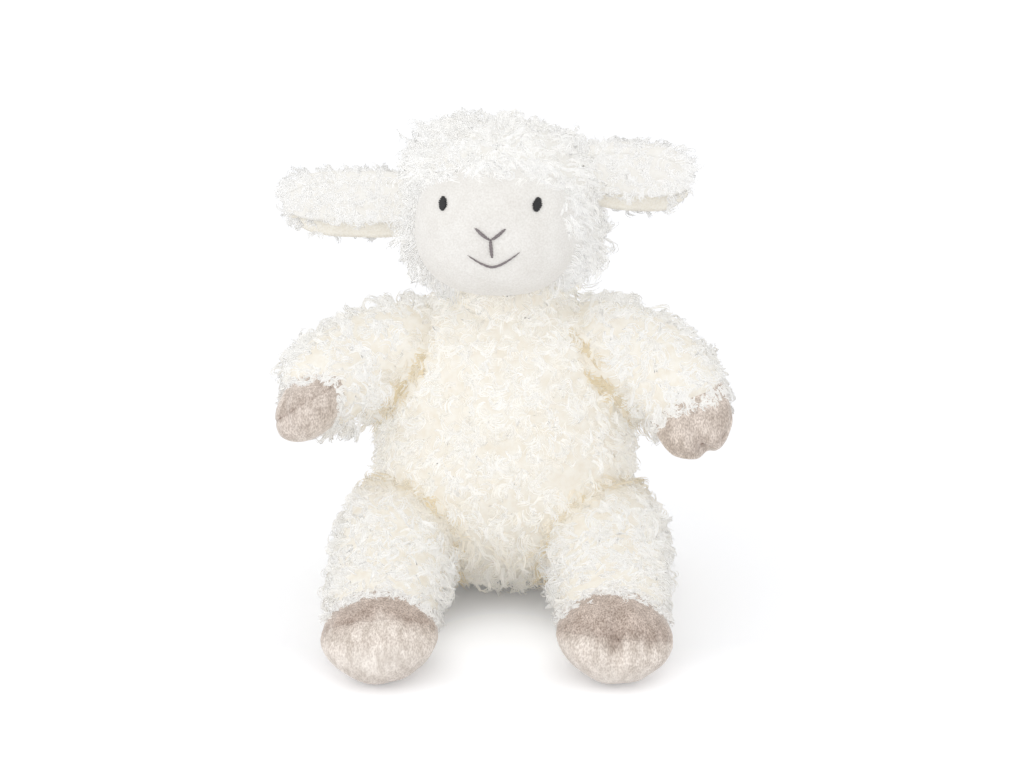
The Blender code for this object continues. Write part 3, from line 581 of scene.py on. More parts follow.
wools = {
    "body": wool("wool_body", (0.95, 0.915, 0.825), (0.98, 0.962, 0.915), (0.995, 0.985, 0.955)),
    "head": wool("wool_head", (0.945, 0.93, 0.89), (0.97, 0.962, 0.94), (0.985, 0.98, 0.965)),
    "limb": wool("wool_limb", (0.92, 0.90, 0.85), (0.945, 0.935, 0.905), (0.96, 0.953, 0.934)),
    "ear": wool("wool_ear", (0.895, 0.885, 0.86), (0.915, 0.908, 0.89), (0.93, 0.925, 0.912)),
}


def backing(name, low, high):
    """The woven backing that shows between locks, with darker patches."""
    material, tree, shader = material_of(name, 0.95)
    patches = noise(tree, coordinates(tree), 220)
    tree.links.new(ramp(tree, patches, (0.30, low), (0.65, high)), shader.inputs["Base Color"])
    bumped(tree, shader, patches, 0.6, 0.001)
    return material


wool_backing = backing("wool_backing", (0.80, 0.745, 0.645), (0.86, 0.83, 0.76))
pale_backing = backing("pale_backing", (0.78, 0.757, 0.71), (0.83, 0.815, 0.778))  # head and ears
print("wools", ", ".join(wools))


# %% Velour
def velour(name, low, high):
    """Short dense pile: a fine grain over soft patches, with the pale rim that pile gives."""
    material, tree, shader = material_of(name, 0.85, 0.2, 0.35, 0.4)
    place = coordinates(tree)
    fine = noise(tree, place, 1100, 2.0)
    patches = noise(tree, place, 75, 3.0)
    grained = ramp(tree, fine, (0.32, low), (0.68, high))
    patched = ramp(tree, patches, (0.25, (0.92, 0.91, 0.90)), (0.70, WHITE))
    tree.links.new(times(tree, grained, patched), shader.inputs["Base Color"])
    bumped(tree, shader, fine, 0.7, 0.0004)
    return material


face_velour = velour("face_velour", (0.755, 0.735, 0.70), (0.845, 0.83, 0.80))
ear_velour = velour("ear_velour", (0.82, 0.78, 0.69), (0.89, 0.865, 0.80))

# %% Hoof velour
HOOF_NAP = (1500, 1100, 750)  # grains on a metre: the nap lies upright, its grain longest that way


def hoof_velour():
    """Velour with a coarse brushed grain, from taupe over the seam to pale under it.

    Attribute "under" blends the painted shade above the seam with the painted light below it: how the
    nap of the two panels catches the light. "rim" paints a highlight on the sole's front, and
    "crease" paints shade along seams, in the cleft and at stitches.
    """
    material, tree, shader = material_of("hoof_velour", 0.9, 0.15, 0.8, 0.35)
    shader.inputs["Sheen Tint"].default_value = (1.0, 0.95, 0.90, 1)
    stretch = tree.nodes.new("ShaderNodeMapping")
    stretch.inputs["Scale"].default_value = HOOF_NAP
    tree.links.new(coordinates(tree), stretch.inputs["Vector"])
    fine = noise(tree, stretch.outputs["Vector"], 1.0, 3.0)
    patches = noise(tree, stretch.outputs["Vector"], 0.16, 2.0)
    above = ramp(tree, fine, (0.36, (0.345, 0.275, 0.235)), (0.66, (0.70, 0.595, 0.525)))
    below = ramp(tree, fine, (0.36, (0.56, 0.49, 0.435)), (0.66, (0.87, 0.80, 0.735)))
    both = blended(tree, number(tree, "under"), above, below)
    both = blended(tree, number(tree, "rim"), both, (0.90, 0.855, 0.80))
    broad = ramp(tree, patches, (0.36, (0.83, 0.81, 0.79)), (0.62, (1.07, 1.07, 1.07)))
    # painted shade along seams, in the cleft and at stitches
    painted_seam_shade = ramp(tree, number(tree, "crease"), (0.0, WHITE), (1.0, (0.42, 0.34, 0.30)))
    tree.links.new(times(tree, times(tree, both, broad), painted_seam_shade), shader.inputs["Base Color"])
    bumped(tree, shader, fine, 0.8, 0.0005)
    return material


hoof_cloth = hoof_velour()


# %% Thread
def thread(name, low, high, roughness):
    """Embroidery thread: fine fibres that vary a little in tone."""
    material, tree, shader = material_of(name, roughness)
    fibres = noise(tree, coordinates(tree), 2500, 2.0)
    tree.links.new(ramp(tree, fibres, (0.3, low), (0.7, high)), shader.inputs["Base Color"])
    bumped(tree, shader, fibres, 0.5, 0.0002)
    return material


black_thread = thread("black_thread", (0.006, 0.006, 0.007), (0.022, 0.021, 0.022), 0.42)
grey_thread = thread("grey_thread", (0.13, 0.11, 0.115), (0.30, 0.265, 0.27), 0.55)
print("finishes", len(bpy.data.materials))

# %% [markdown]
# ## Where locks grow
# The real pile is yarn in small curled locks, set row by row into a woven backing. On a bumpy
# surface it would look like towelling, and Blender's hair curves can't be handed on as a mesh, so
# every lock is modelled. First their roots: they are scattered over each form by area, so that no
# part of the cloth is thin, and smooth waves over the surface decide which way they lie.

# %% Where locks grow
DENSITY = 7.1  # locks on a square centimetre of the body
SQUARE_CENTIMETRES = 1e4  # in a square metre
THIN = 1.0  # share of the locks that a quick trial grows


def scatter(rows, density, sheet=False):
    """Roots and normals of locks spread evenly over a grid of points, closed round or a plain sheet.

    A cell is picked by its area, and a place in it by two random shares of its sides.
    """
    closed = rows if sheet else np.concatenate([rows, rows[:, :1]], axis=1)
    a, b, c, d = closed[:-1, :-1], closed[:-1, 1:], closed[1:, :-1], closed[1:, 1:]
    face = np.cross(b + d - a - c, c + d - a - b) / 4
    area = np.linalg.norm(face, axis=-1)
    centre = rows.reshape(-1, 3).mean(axis=0)
    middle = (a + b + c + d) / 4
    if (face * (middle - centre)).sum() < 0:
        face = -face
    count = int(area.sum() * SQUARE_CENTIMETRES * density * THIN)
    cell = rng.choice(area.size, count, p=(area / area.sum()).ravel())
    i, j = np.unravel_index(cell, area.shape)
    s, t = rng.random((2, count, 1))
    roots = (a[i, j] * (1 - s) + b[i, j] * s) * (1 - t) + (c[i, j] * (1 - s) + d[i, j] * s) * t
    return roots, unit(face[i, j])


def kept(keep, *values):
    """Each of some arrays, only where keep says."""
    return [value[keep] for value in values]


# %% Waves of the pile
TUFT = 0.0027  # size of the waves that make tufts stand and valleys between them


def bell(values, middle, width):
    """A bell curve: 1 at its middle."""
    return np.exp(-(((values - middle) / width) ** 2))


def swirl(points, size):
    """A smooth wandering angle at each point: three sine waves over slanting directions."""
    x, y, z = (points / size).T
    first = np.sin(1.3 * x + 2.1 * z + 0.7) + np.sin(2.3 * y - 1.1 * z + 2.0)
    return first + np.sin(1.9 * x - 1.7 * y + 0.9 * z)


def flowing(normals, heading, angle):
    """Heading laid onto the surface and turned about the normal by an angle."""
    flat = unit(heading - normals * (heading * normals).sum(axis=-1, keepdims=True))
    side = np.cross(normals, flat)
    return flat * np.cos(angle)[:, None] + side * np.sin(angle)[:, None]


# %% [markdown]
# ## Fibres
# A lock is a small bunch of fibres that leave the backing together and coil alike. Each fibre is
# a slim closed cone with three sides and seven stations, which is all that its size needs: a
# piece of 5,800 fibres stays under 200,000 triangles. Light on such thin cones alone is harsh, so
# their shading normals lean to those of the cloth, and the skins below them cast the shadows.

# %% The line of a fibre
FIBRES = 5  # in a lock
STATIONS = 7  # along a fibre, the last one its tip
LOCK_RADIUS = 0.0011
TUCK = 0.0005  # how close to the backing a fibre's tip may come


def fibre_lines(roots, normals, flow, length, lift, curl):
    """Points along every fibre: (fibres, stations, 3).

    Guide = root + a quarter sine of lift along the normal + length along the flow + a coil of
    radius curl, in a plane of the lock's own between lying flat and standing up. What would sink
    below the backing turns up again. Neighbours coil alike, so that they gather into tufts, and a
    lock's fibres run close together and part at their tips.
    """
    count = len(roots)
    s = np.linspace(0, 1, STATIONS)[None, None, :, None]
    one, each = (count, 1, 1, 1), (count, FIBRES, 1, 1)
    side = np.cross(normals, flow)[:, None, None]
    normals, flow = normals[:, None, None], flow[:, None, None]
    length, lift = (np.broadcast_to(value, (count,)).reshape(one) for value in (length, lift))
    shared = swirl(roots + 0.05, TUFT * 1.3).reshape(one)
    turns = rng.uniform(0.7, 1.4, one) * np.where(swirl(roots - 0.07, TUFT * 2).reshape(one) > 0, 1, -1)
    phase = 2.2 * shared + rng.normal(0, 0.5, one) + rng.normal(0, 0.30, each)
    tilt = np.clip(0.75 + 0.25 * shared + rng.normal(0, 0.3, one), 0, 1.45)
    long = length * rng.uniform(0.7, 1.25, one) * rng.uniform(0.85, 1.1, each)
    tall = lift * rng.uniform(0.7, 1.25, one) * rng.uniform(0.85, 1.12, each)
    wide = curl * rng.uniform(0.6, 1.3, one) * rng.uniform(0.88, 1.12, each)
    angle = 2 * math.pi * turns * s + phase
    grown = wide * np.sin(np.minimum(s * 2.2, 1) * math.pi / 2)
    sideways = grown * (np.sin(angle) - np.sin(phase))
    turned = grown * (np.cos(angle) - np.cos(phase))
    around = rng.uniform(0, 2 * math.pi, each)
    spread = np.sqrt(rng.random(each)) * LOCK_RADIUS * (1 + 0.9 * s**2)
    rise = tall * np.sin(np.minimum(s * 1.6, 1) * math.pi / 2) + turned * np.cos(tilt)
    rise = np.hypot(rise, TUCK * s) + spread * np.sin(around) * s
    along = long * s**1.2 + turned * np.sin(tilt)
    lines = roots[:, None, None] + flow * along + side * (sideways + spread * np.cos(around))
    return (lines + normals * rise).reshape(-1, STATIONS, 3)


# %% The mesh of fibres
FIBRE_SIDES = 3
THINNING = 0.75  # how much of its radius a fibre loses before its tip
NORMAL_LEAN = 0.35  # of the cloth's normal in a fibre's shading
MAP_COLUMNS, MAP_LOW, MAP_TALL = (0.2, 0.5, 0.8), 0.15, 0.7  # of a fibre in its cell of the bake map


def carried(tangent):
    """Side vectors carried along lines without twist, each the last one squared to its tangent."""
    sides = [unit(np.cross(tangent[:, 0], np.array([0.31, 0.87, 0.39])))]
    for station in range(1, tangent.shape[1]):
        here, last = tangent[:, station], sides[-1]
        sides.append(unit(last - here * (here * last).sum(axis=-1, keepdims=True)))
    return np.stack(sides, axis=1)


def fibre_faces(count, per):
    """Triangles of closed fibres: each ring to the next, the last ring to the tip, and the root."""
    ring = np.arange(FIBRE_SIDES)
    after = (ring + 1) % FIBRE_SIDES
    low = (np.arange(STATIONS - 2) * FIBRE_SIDES)[:, None]
    high = low + FIBRE_SIDES
    one = np.stack([low + ring, low + after, high + after], axis=-1).reshape(-1, 3)
    two = np.stack([low + ring, high + after, high + ring], axis=-1).reshape(-1, 3)
    last, tip = per - 1 - FIBRE_SIDES, np.full(FIBRE_SIDES, per - 1)
    cone = np.stack([last + ring, last + after, tip], axis=-1)
    pattern = np.concatenate([one, two, cone, [[2, 1, 0]]])
    return (pattern[None] + (np.arange(count) * per)[:, None, None]).reshape(-1, 3)


def fibre_map(count, share):
    """Flat places of every fibre's points, for baking: each fibre upright in its own square cell."""
    cells = math.ceil(math.sqrt(count))
    cell = np.arange(count)[:, None]
    column = np.concatenate([np.tile(MAP_COLUMNS, len(share)), [0.5]])
    along = np.concatenate([np.repeat(share, FIBRE_SIDES), [1.0]])
    u = (cell % cells + column) / cells
    v = (cell // cells + MAP_LOW + MAP_TALL * along) / cells
    return np.stack([u, v], axis=-1).reshape(-1, 2)


# %% A piece of fibres
def fibre_mesh(name, lines, thickness, tones, deep, grown, material):
    """Closed fibres round lines, thinning to a point, with their numbers and a bake map.

    Each station but the tip carries a ring: its point plus the radius times cosine and sine of
    the turn, on two directions square to the line.
    """
    count = len(lines)
    tangent = unit(np.gradient(lines, axis=1))
    across = carried(tangent)
    up = np.cross(tangent, across)
    across, up = across[:, :-1], up[:, :-1]
    share = np.linspace(0, 1, STATIONS)[:-1]
    radius = (thickness[:, None] * (1 - share**2 * THINNING))[..., None]
    turns = np.arange(FIBRE_SIDES) * 2 * math.pi / FIBRE_SIDES
    rings = [lines[:, :-1] + radius * (across * math.cos(turn) + up * math.sin(turn)) for turn in turns]
    rings = np.stack(rings, axis=2).reshape(count, -1, 3)
    points = np.concatenate([rings, lines[:, -1:]], axis=1)
    per = points.shape[1]
    faces = fibre_faces(count, per)
    piece = new_piece(name, points.reshape(-1, 3), [faces], material)
    own = unit(points - np.repeat(lines, FIBRE_SIDES, axis=1)[:, :per])
    own[:, -1] = tangent[:, -1]
    shading = unit(own + grown[:, None] * NORMAL_LEAN)
    piece.data.normals_split_custom_set_from_vertices(shading.reshape(-1, 3).tolist())
    point_values(piece, "deep", np.repeat(deep, per))
    point_values(piece, "tone", np.repeat(tones, per))
    places = fibre_map(count, share)[faces.ravel()].astype(np.float32)
    piece.data.uv_layers.new(name="OFBake").data.foreach_set("uv", places.ravel())
    return piece


# %% Growing a coat
FULL_PIECE = 5800  # fibres in one piece
FLOOR_GAP = 0.0007  # of the lowest fibre over the floor
COAT = {
    "length": 0.0075,  # of a lock along the flow of the pile
    "lift": 0.0030,  # of its middle off the backing
    "curl": 0.0019,  # radius of its coil
    "stray": 1.0,  # how much its heading wanders
    "thick": 0.00032,  # radius of a fibre at its root
    # painted shade in the valleys between tufts, as a share of the deepest crease's
    "mottle": 0.3,  # how deep in tone the valleys between tufts are
}


def grow(name, roots, normals, heading, material, body, deep=0.0, blend=None, **changes):
    """Grows a coat of locks in as many pieces as it needs, and ties each piece to its body, or only bakes
    its place where a blend is given.

    Locks let the skins below cast the shadows: shadow rays and bounced light pass through them.
    """
    coat = COAT | changes
    angle = swirl(roots, 0.012) * 0.5 + swirl(roots + 0.03, TUFT * 1.2) * 0.7 * coat["stray"]
    angle = angle + rng.normal(0, 0.35, len(roots))
    flow = flowing(normals, heading, angle)
    lumps = swirl(roots, TUFT) / 3
    lift = coat["lift"] * (1 + 0.45 * lumps)
    lines = fibre_lines(roots, normals, flow, coat["length"], lift, coat["curl"])
    lines[..., 2] = np.maximum(lines[..., 2], FLOOR_GAP)
    # Painted shade: the valleys between tufts are tinted as creases are.
    deep = np.clip(deep + coat["mottle"] * np.clip(-lumps, 0, 1), 0, 1)
    tones = np.repeat(rng.random(len(roots)), FIBRES) * 0.6 + rng.random(len(lines)) * 0.4
    thickness = coat["thick"] * rng.uniform(0.7, 1.2, len(lines))
    values = (lines, thickness, tones, np.repeat(deep, FIBRES), np.repeat(normals, FIBRES, axis=0))
    parts = np.array_split(rng.permutation(len(lines)), math.ceil(len(lines) / FULL_PIECE))
    for index, part in enumerate(parts, 1):
        piece = fibre_mesh(f"{name}_{index}", *kept(part, *values), material)
        if blend:
            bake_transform(piece)
        else:
            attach(piece, body)
        piece.visible_shadow = piece.visible_diffuse = False
    print(name, len(roots), "locks", len(lines), "fibres in", len(parts), "pieces")


# %% [markdown]
# ## Creases and edges
# Where two stuffed parts press together their wool closes over a deep crease, whose shade is
# painted into the wool's colour, and no lock grows inside the other part. Both follow from the
# forms read backwards, so nothing is placed by hand.

# %% Creases and edges
# Painted shade: roots close to another form get the golden crease colour.
CREASE_REACH = 0.34  # how far out of a form, as a share of its size, its crease still shows
SHOULDER_LIGHT = (0.150, -0.014)  # heights between which light gets into the creases
THIGH_LIGHT = (0.054, -0.012)  # the same, outwards over the thighs
EDGE_INNER, EDGE_OUTER = 0.99, 1.04  # from a form's backing to a little outside its pile


def painted_crease_shade(roots, others):
    """How much painted crease shade a root gets: 1 on the other form's skin, 0 from a reach past it.

    The painted shade fades out at the shoulders and on the outer thighs, where the light gets in.
    """
    deep = np.zeros(len(roots))
    for other in others:
        near = np.clip(1 - (insides[other](roots, PILE) - 1) / CREASE_REACH, 0, 1)
        near = near * fade(roots[:, 2], *SHOULDER_LIGHT)
        if "leg" in other:
            near = near * (0.45 + 0.40 * fade(np.abs(roots[:, 0]), *THIGH_LIGHT))
        deep = np.maximum(deep, near)
    return np.minimum(deep**1.4 * 1.25, 1)


def clear_of(roots, others, inset):
    """True where a root lies outside every other form."""
    free = np.ones(len(roots), bool)
    for other in others:
        free &= insides[other](roots, inset) > 1
    return free


def off_floor(roots, normals, height, slope):
    """True but for low roots that face the floor, which the lamb sits on."""
    return (roots[:, 2] > height) | (normals[:, 2] > slope)


def edge_locks(rows, form, keep, density, more=None):
    """Roots on a smooth piece in the band where it dips under a woolly form, and where more says."""
    roots, normals = scatter(rows, density)
    band = (form(roots, PILE) > EDGE_INNER) & (form(roots, 0.0) < EDGE_OUTER) & keep(roots)
    if more:
        band |= more(roots)
    return kept(band, roots, normals)


# %% [markdown]
# ## Body
# The body is a bag of pile cloth, broad at the seat. It could be one bumpy skin, but the photograph
# shows single locks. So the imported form, drawn in by the depth of the pile, becomes the backing,
# and locks hang down from it. They are longest round the seat, and none grows where the lamb sits.

# %% Body wool
DOWN = np.array([0, 0, -1.0])
# The low wool round the seat gets extra painted shade, as wool does close to the floor.
SEAT_TOP, SEAT_SHADE = 0.045, 0.15
SEAT_WOOL = {"length": 0.0115, "curl": 0.0014, "stray": 0.6}

body_rows = body_form(ball_rows(72, 64), PILE)
body_skin = closed_skin("body_backing", body_rows, wool_backing)
dress(body_skin, "torso", "torso_fleece", "torso_filling", "pellet_bag", slot="curly_fleece")

roots, normals = scatter(body_rows, DENSITY)
others = ["head", "face", "arm_left", "arm_right", "leg_left", "leg_right"]
keep = clear_of(roots, others, PILE) & off_floor(roots, normals, 0.008, -0.75)
roots, normals = kept(keep, roots, normals)
# Painted crease shade where the body's wool meets head, arms and legs.
low, deep = roots[:, 2] < SEAT_TOP, painted_crease_shade(roots, others)
grow("body_wool", roots[~low], normals[~low], DOWN, wools["body"], "torso", deep[~low])
# painted shade on the seat's low wool
roots, normals, deep = kept(low, roots, normals, deep + SEAT_SHADE)
grow("seat_wool", roots, normals, DOWN, wools["body"], "torso", deep, **SEAT_WOOL)

# %% [markdown]
# ## Neck
# The neck of a small plush toy is a short stuffed join that its wool hides. A ball is enough for
# it. Its long locks fill the crease under the chin and turn with the head, so that no gap opens.

# %% Neck
NECK_MIDDLE, NECK_RADIUS = np.array([0, 0, 0.1520]), 0.0262
NECK_BAND = (0.155, 0.016)  # middle and half height of the ring of wool
NECK_WOOL = {"length": 0.012, "lift": 0.010}

neck_rows = ball_rows(32, 24) * NECK_RADIUS + NECK_MIDDLE
dress(closed_skin("neck_backing", neck_rows, wool_backing), "neck", "neck_filling")
roots, normals = scatter(neck_rows, DENSITY)
keep = (np.abs(roots[:, 2] - NECK_BAND[0]) < NECK_BAND[1]) & clear_of(roots, ["body", "head"], PILE)
roots, normals = kept(keep, roots, normals)
# 0.04 is a little painted crease shade on the neck's wool, under the chin.
grow("neck_wool", roots, normals, normals + 0.3 * DOWN, wools["body"], "neck", 0.04, **NECK_WOOL)

# %% [markdown]
# ## Head
# The head is a round bag of the same cloth. Its pile stands up in tufts on the crown and in thick
# cheeks, so lift and length follow smooth bumps round the head, and the locks turn away from the
# crown and hang over the upper edge of the face.

# %% Head wool
HEAD_DENSITY = DENSITY * 1.25
HEAD_LENGTH, HEAD_LIFT, HEAD_VALLEY_SHADE = 0.0068, 0.0032, 0.06
CHEEK_LONGER, CHEEK_HIGHER = 0.0045, 0.0050
CHEEK_TOP, CHEEK_INNER = (0.200, -0.012), (0.022, 0.010)  # where cheeks fade in, down and outwards
CROWN_TUFTS = ((0.0075, -0.88, 0.36), (0.0030, 1.00, 0.25), (-0.0026, 0.50, 0.26))
PARTING = np.array([0, 0, 0.03])  # from the head's middle, where its pile turns away from

head_rows = head_form(ball_rows(72, 56), PILE)
head_skin = closed_skin("head_backing", head_rows, pale_backing)
dress(head_skin, "head", "head_fleece", "head_filling", slot="curly_fleece")

roots, normals = scatter(head_rows, HEAD_DENSITY)
keep = clear_of(roots, ["face"], -0.0002) & clear_of(roots, ["body"], PILE)
roots, normals = kept(keep, roots, normals)
heading = unit(roots - from_head(HEAD_MIDDLE + PARTING)) + 0.6 * DOWN
own = into_head(roots) - HEAD_MIDDLE
slope = np.arctan2(own[:, 0], own[:, 2])  # angle from the crown towards the lamb's left
tufts = sum(height * bell(slope, angle, width) for height, angle, width in CROWN_TUFTS)
cheeks = fade(roots[:, 2], *CHEEK_TOP) * fade(np.abs(own[:, 0]), *CHEEK_INNER)
# The head's wool gets half the painted crease shade next to the body.
grow(
    "head_wool", roots, normals, heading, wools["head"], "head", painted_crease_shade(roots, ["body"]) * 0.5,
    length=HEAD_LENGTH + CHEEK_LONGER * cheeks + 0.3 * tufts,
    lift=HEAD_LIFT + CHEEK_HIGHER * cheeks + tufts, mottle=HEAD_VALLEY_SHADE,
)

# %% [markdown]
# ## Face
# The face is one velour panel, a blunt cushion let into the wool. Eyes that are sewn through a
# stuffed head pull its cloth in, and so do nose and mouth, a little. A flat disc would miss these
# dips, so the cushion's own formula has them, and threads can be laid on it with the same formula.

# %% Face
EYE_ACROSS, EYE_HEIGHT = 0.0228, 0.2150
DIPS = (
    (0.0016, -EYE_ACROSS, 0.0055, EYE_HEIGHT, 0.0065),
    (0.0016, EYE_ACROSS, 0.0055, EYE_HEIGHT, 0.0065),
    (0.0007, 0, 0.013, 0.1890, 0.004),
    (0.0006, 0, 0.0022, 0.1960, 0.008),
)  # eyes, mouth and nose: depth, place and width across, height and width up


def face_depth(across, height):
    """Y of the plain face in the head's frame, at places across and up."""
    up = np.abs((height - FACE_MIDDLE[2]) / FACE_HALF[2])
    ring = np.maximum(1 - up**FACE_POWER, 0)
    side = np.abs(across / FACE_HALF[0]) ** FACE_POWER
    return FACE_MIDDLE[1] - FACE_HALF[1] * np.maximum(ring - side, 0) ** (1 / FACE_POWER)


def pulled_in(across, height):
    """How far stitches pull the face back: a bell over the distance from each dip's middle."""
    depth = np.zeros(np.shape(across))
    for deep, x, wide, z, tall in DIPS:
        depth = depth + deep * np.exp(-(((across - x) / wide) ** 2 + ((height - z) / tall) ** 2))
    return depth


def face_surface(across, height, over=0.0):
    """A point on the dressed face in the lamb's frame, raised by over."""
    deep = face_depth(across, height) + pulled_in(across, height) - over
    return from_head(np.stack([across, deep, height + np.zeros_like(across)], axis=-1))


face_own = fuller(ball_rows(120, 96), FACE_POWER, FACE_POWER) * FACE_HALF + FACE_MIDDLE
front = fade(face_own[..., 1], FACE_MIDDLE[1], -FACE_HALF[1] / 2)
face_own[..., 1] += pulled_in(face_own[..., 0], face_own[..., 2]) * front
face_skin = closed_skin("face_velour_panel", from_head(face_own), face_velour)
dress(face_skin, "head", "face_panel", slot="face_velour")

# %% [markdown]
# ## Fringe
# On the toy the panel's edge is lost under the head's pile. Wool on the head alone would leave a
# bare line there, so a doubled row of locks grows on the panel itself, where it dips under the
# pile. Above the eyes they hang down over the face, and at the cheeks they lean inwards.

# %% Fringe round the face
CHIN_TOP, CHIN_HALF = 0.186, 0.024
FACE_EDGE = (0.0372, 0.0335)  # half widths between temples, on the lamb's right and left
EDGE_WIDER, EDGE_FADE = 0.013, (0.208, -0.022)  # the edge moves out below the temples
CHEEK_BOTTOM = 0.180
FRINGE_DENSITY = DENSITY * 2.2
FRINGE_TARGET = np.array([0, -0.055, 0.186])  # what the fringe leans to, in the head's frame
FRINGE_LENGTH, FRINGE_LIFT, FRINGE_LOW_LIFT = 0.0062, 0.0036, 0.002


def round_face(points):
    """True round the face but for its chin."""
    return (points[:, 2] > CHIN_TOP) | (np.abs(points[:, 0]) > CHIN_HALF)


def at_temples(points):
    """True at the sides of the face, from the brow down to the cheeks."""
    own = into_head(points)
    edge = np.where(own[:, 0] > 0, FACE_EDGE[1], FACE_EDGE[0]) + EDGE_WIDER * fade(own[:, 2], *EDGE_FADE)
    return (np.abs(own[:, 0]) > edge) & (own[:, 1] < FACE_MIDDLE[1]) & (own[:, 2] > CHEEK_BOTTOM)


roots, normals = edge_locks(
    from_head(face_own), insides["head"], round_face, FRINGE_DENSITY, at_temples
)
grow(
    "fringe_wool", roots, normals, from_head(FRINGE_TARGET) - roots, wools["head"], "head",
    length=FRINGE_LENGTH, lift=FRINGE_LIFT + FRINGE_LOW_LIFT * fade(roots[:, 2], *CHEEK_TOP),
    mottle=HEAD_VALLEY_SHADE,
)

# %% [markdown]
# ## Eyes, nose and mouth
# Each eye is a patch of satin stitch: parallel threads side by side, each as long as the oval is
# wide there. Nose and mouth are lines of two threads twisted round each other. Dark paint on the
# panel would look flat from the side, so every thread is a thin tube laid on the face's formula.

# %% Threads
STRAND_TURN = 0.55  # radians from one point of a twisted thread to the next
STRAND_APART = 0.45  # from a strand to the line's middle, as a share of the thickness
THREAD_OVER = 0.0004  # of the line's middle over the velour


def thread_tubes(name, lines, thickness, material, blunt, around=8):
    """Closed tubes along lines of points (threads, stations, 3), thin at both ends.

    A blunt of 4 keeps them thick up to their ends, and 1.3 lets them taper from the middle.
    """
    tangent = unit(np.gradient(lines, axis=1))
    across = unit(np.cross(tangent, np.array([0.1, 1.0, 0.2])))
    up = np.cross(tangent, across)
    radius = thickness * ring_size(np.linspace(0, 1, lines.shape[1]) * 2 - 1, blunt)
    turn = np.linspace(0, 2 * math.pi, around, endpoint=False)
    circle = across[:, :, None] * np.cos(turn)[:, None] + up[:, :, None] * np.sin(turn)[:, None]
    tubes = lines[:, :, None] + circle * radius[None, :, None, None]
    pieces = [closed_skin(f"{name}_{index}", rows, material) for index, rows in enumerate(tubes)]
    with bpy.context.temp_override(active_object=pieces[0], selected_editable_objects=pieces):
        bpy.ops.object.join()
    pieces[0].name = name
    return pieces[0]


def stitch_line(across, height, ends=36):
    """A line of places, made even and fine by the length along it."""
    length = np.concatenate([[0], np.cumsum(np.hypot(np.diff(across), np.diff(height)))])
    even = np.linspace(0, length[-1], ends)
    return np.interp(even, length, across), np.interp(even, length, height)


def twisted(across, height, thickness):
    """Two strands twisted round a line on the face: cosine aside and sine above, half a turn apart."""
    strands = []
    for half in (0, math.pi):
        angle = np.arange(len(across)) * STRAND_TURN + half
        aside = across + STRAND_APART * thickness * np.cos(angle)
        over = THREAD_OVER + STRAND_APART * thickness * np.sin(angle)
        strands.append(face_surface(aside, height, over))
    return np.stack(strands)


# %% Eyes
EYE_HALF_WIDTH, EYE_HALF_HEIGHT, EYE_PADDING = 0.00205, 0.0030, 0.0011
EYE_THREADS, EYE_THREAD = 15, 0.00042
EYE_RAISED = {"left": 0.0008, "right": 0}


def eye_threads(side):
    """Lines of an eye's satin stitches, each bowed over the padding, their ends a little uneven."""
    sign = SIDES[side]
    rows = np.linspace(-0.94, 0.94, EYE_THREADS)[:, None]
    share = np.linspace(-1, 1, 9)[None, :]
    half = EYE_HALF_WIDTH * np.sqrt(1 - rows**2) * (1.04 + 0.16 * np.sin(rows * 23 + sign))
    slant = 0.10 * half * share
    across = sign * EYE_ACROSS - 0.0003 + half * share + 0.00012 * np.sin(rows * 40)
    height = EYE_HEIGHT + EYE_RAISED[side] + EYE_HALF_HEIGHT * rows + slant
    bow = np.sqrt(np.maximum(1 - share**2 * 0.9, 0))
    return face_surface(across, height, EYE_PADDING * bow * np.sqrt(1 - 0.75 * rows**2) - 0.0001)


for side in SIDES:
    eye = thread_tubes(f"eye_{side}_stitches", eye_threads(side), EYE_THREAD, black_thread, 4)
    dress(eye, "head", f"eye_{side}", slot="black_thread", padded=False)

# %% Nose and mouth
NOSE_MIDDLE, NOSE_TOP, NOSE_WIDE, NOSE_RISE = 0.0009, 0.1996, 0.0072, 0.0058
STEM_FOOT, STEM_TOP, STEM_BOTTOM = 0.0016, 0.2001, 0.1906
MOUTH_MIDDLE, MOUTH_BOTTOM = 0.0014, 0.1859
MOUTH_HALF, MOUTH_RISE = (0.0118, 0.0138), (0.0060, 0.0082)  # on the lamb's right and left

nose_lines = []
for sign in (-1, 1):
    share = np.linspace(0, 1, 12)
    wing = stitch_line(NOSE_MIDDLE + sign * NOSE_WIDE * share, NOSE_TOP + NOSE_RISE * share**1.25)
    nose_lines.append(twisted(*wing, 0.00075))
stem = stitch_line(np.linspace(NOSE_MIDDLE, STEM_FOOT, 4), np.linspace(STEM_TOP, STEM_BOTTOM, 4))
nose_lines.append(twisted(*stem, 0.00065))
nose = thread_tubes("nose_stitches", np.concatenate(nose_lines), 0.00062, grey_thread, 2)
spread = np.linspace(-1, 1, 24)
wide, rise = (np.where(spread > 0, left, right) for right, left in (MOUTH_HALF, MOUTH_RISE))
bow = stitch_line(MOUTH_MIDDLE + wide * spread, MOUTH_BOTTOM + rise * np.abs(spread) ** 1.5, 60)
mouth = thread_tubes("mouth_stitches", twisted(*bow, 0.0006), 0.00055, grey_thread, 1.3)
dress(nose, "head", "nose_stitch", slot="grey_thread", padded=False)
dress(mouth, "head", "mouth_stitch", slot="grey_thread", padded=False)

# %% [markdown]
# ## Ears
# An ear is cloth folded lengthwise: the short woolly flap hangs in front, the longer one behind,
# and its velour lining shows below the fold's edge. A flat sheet could be bent by a modifier, but
# its thickness would pinch at the tip. Here one closed path follows an upturned U, back along its
# inside, and is carried out to the tip while every size shrinks.

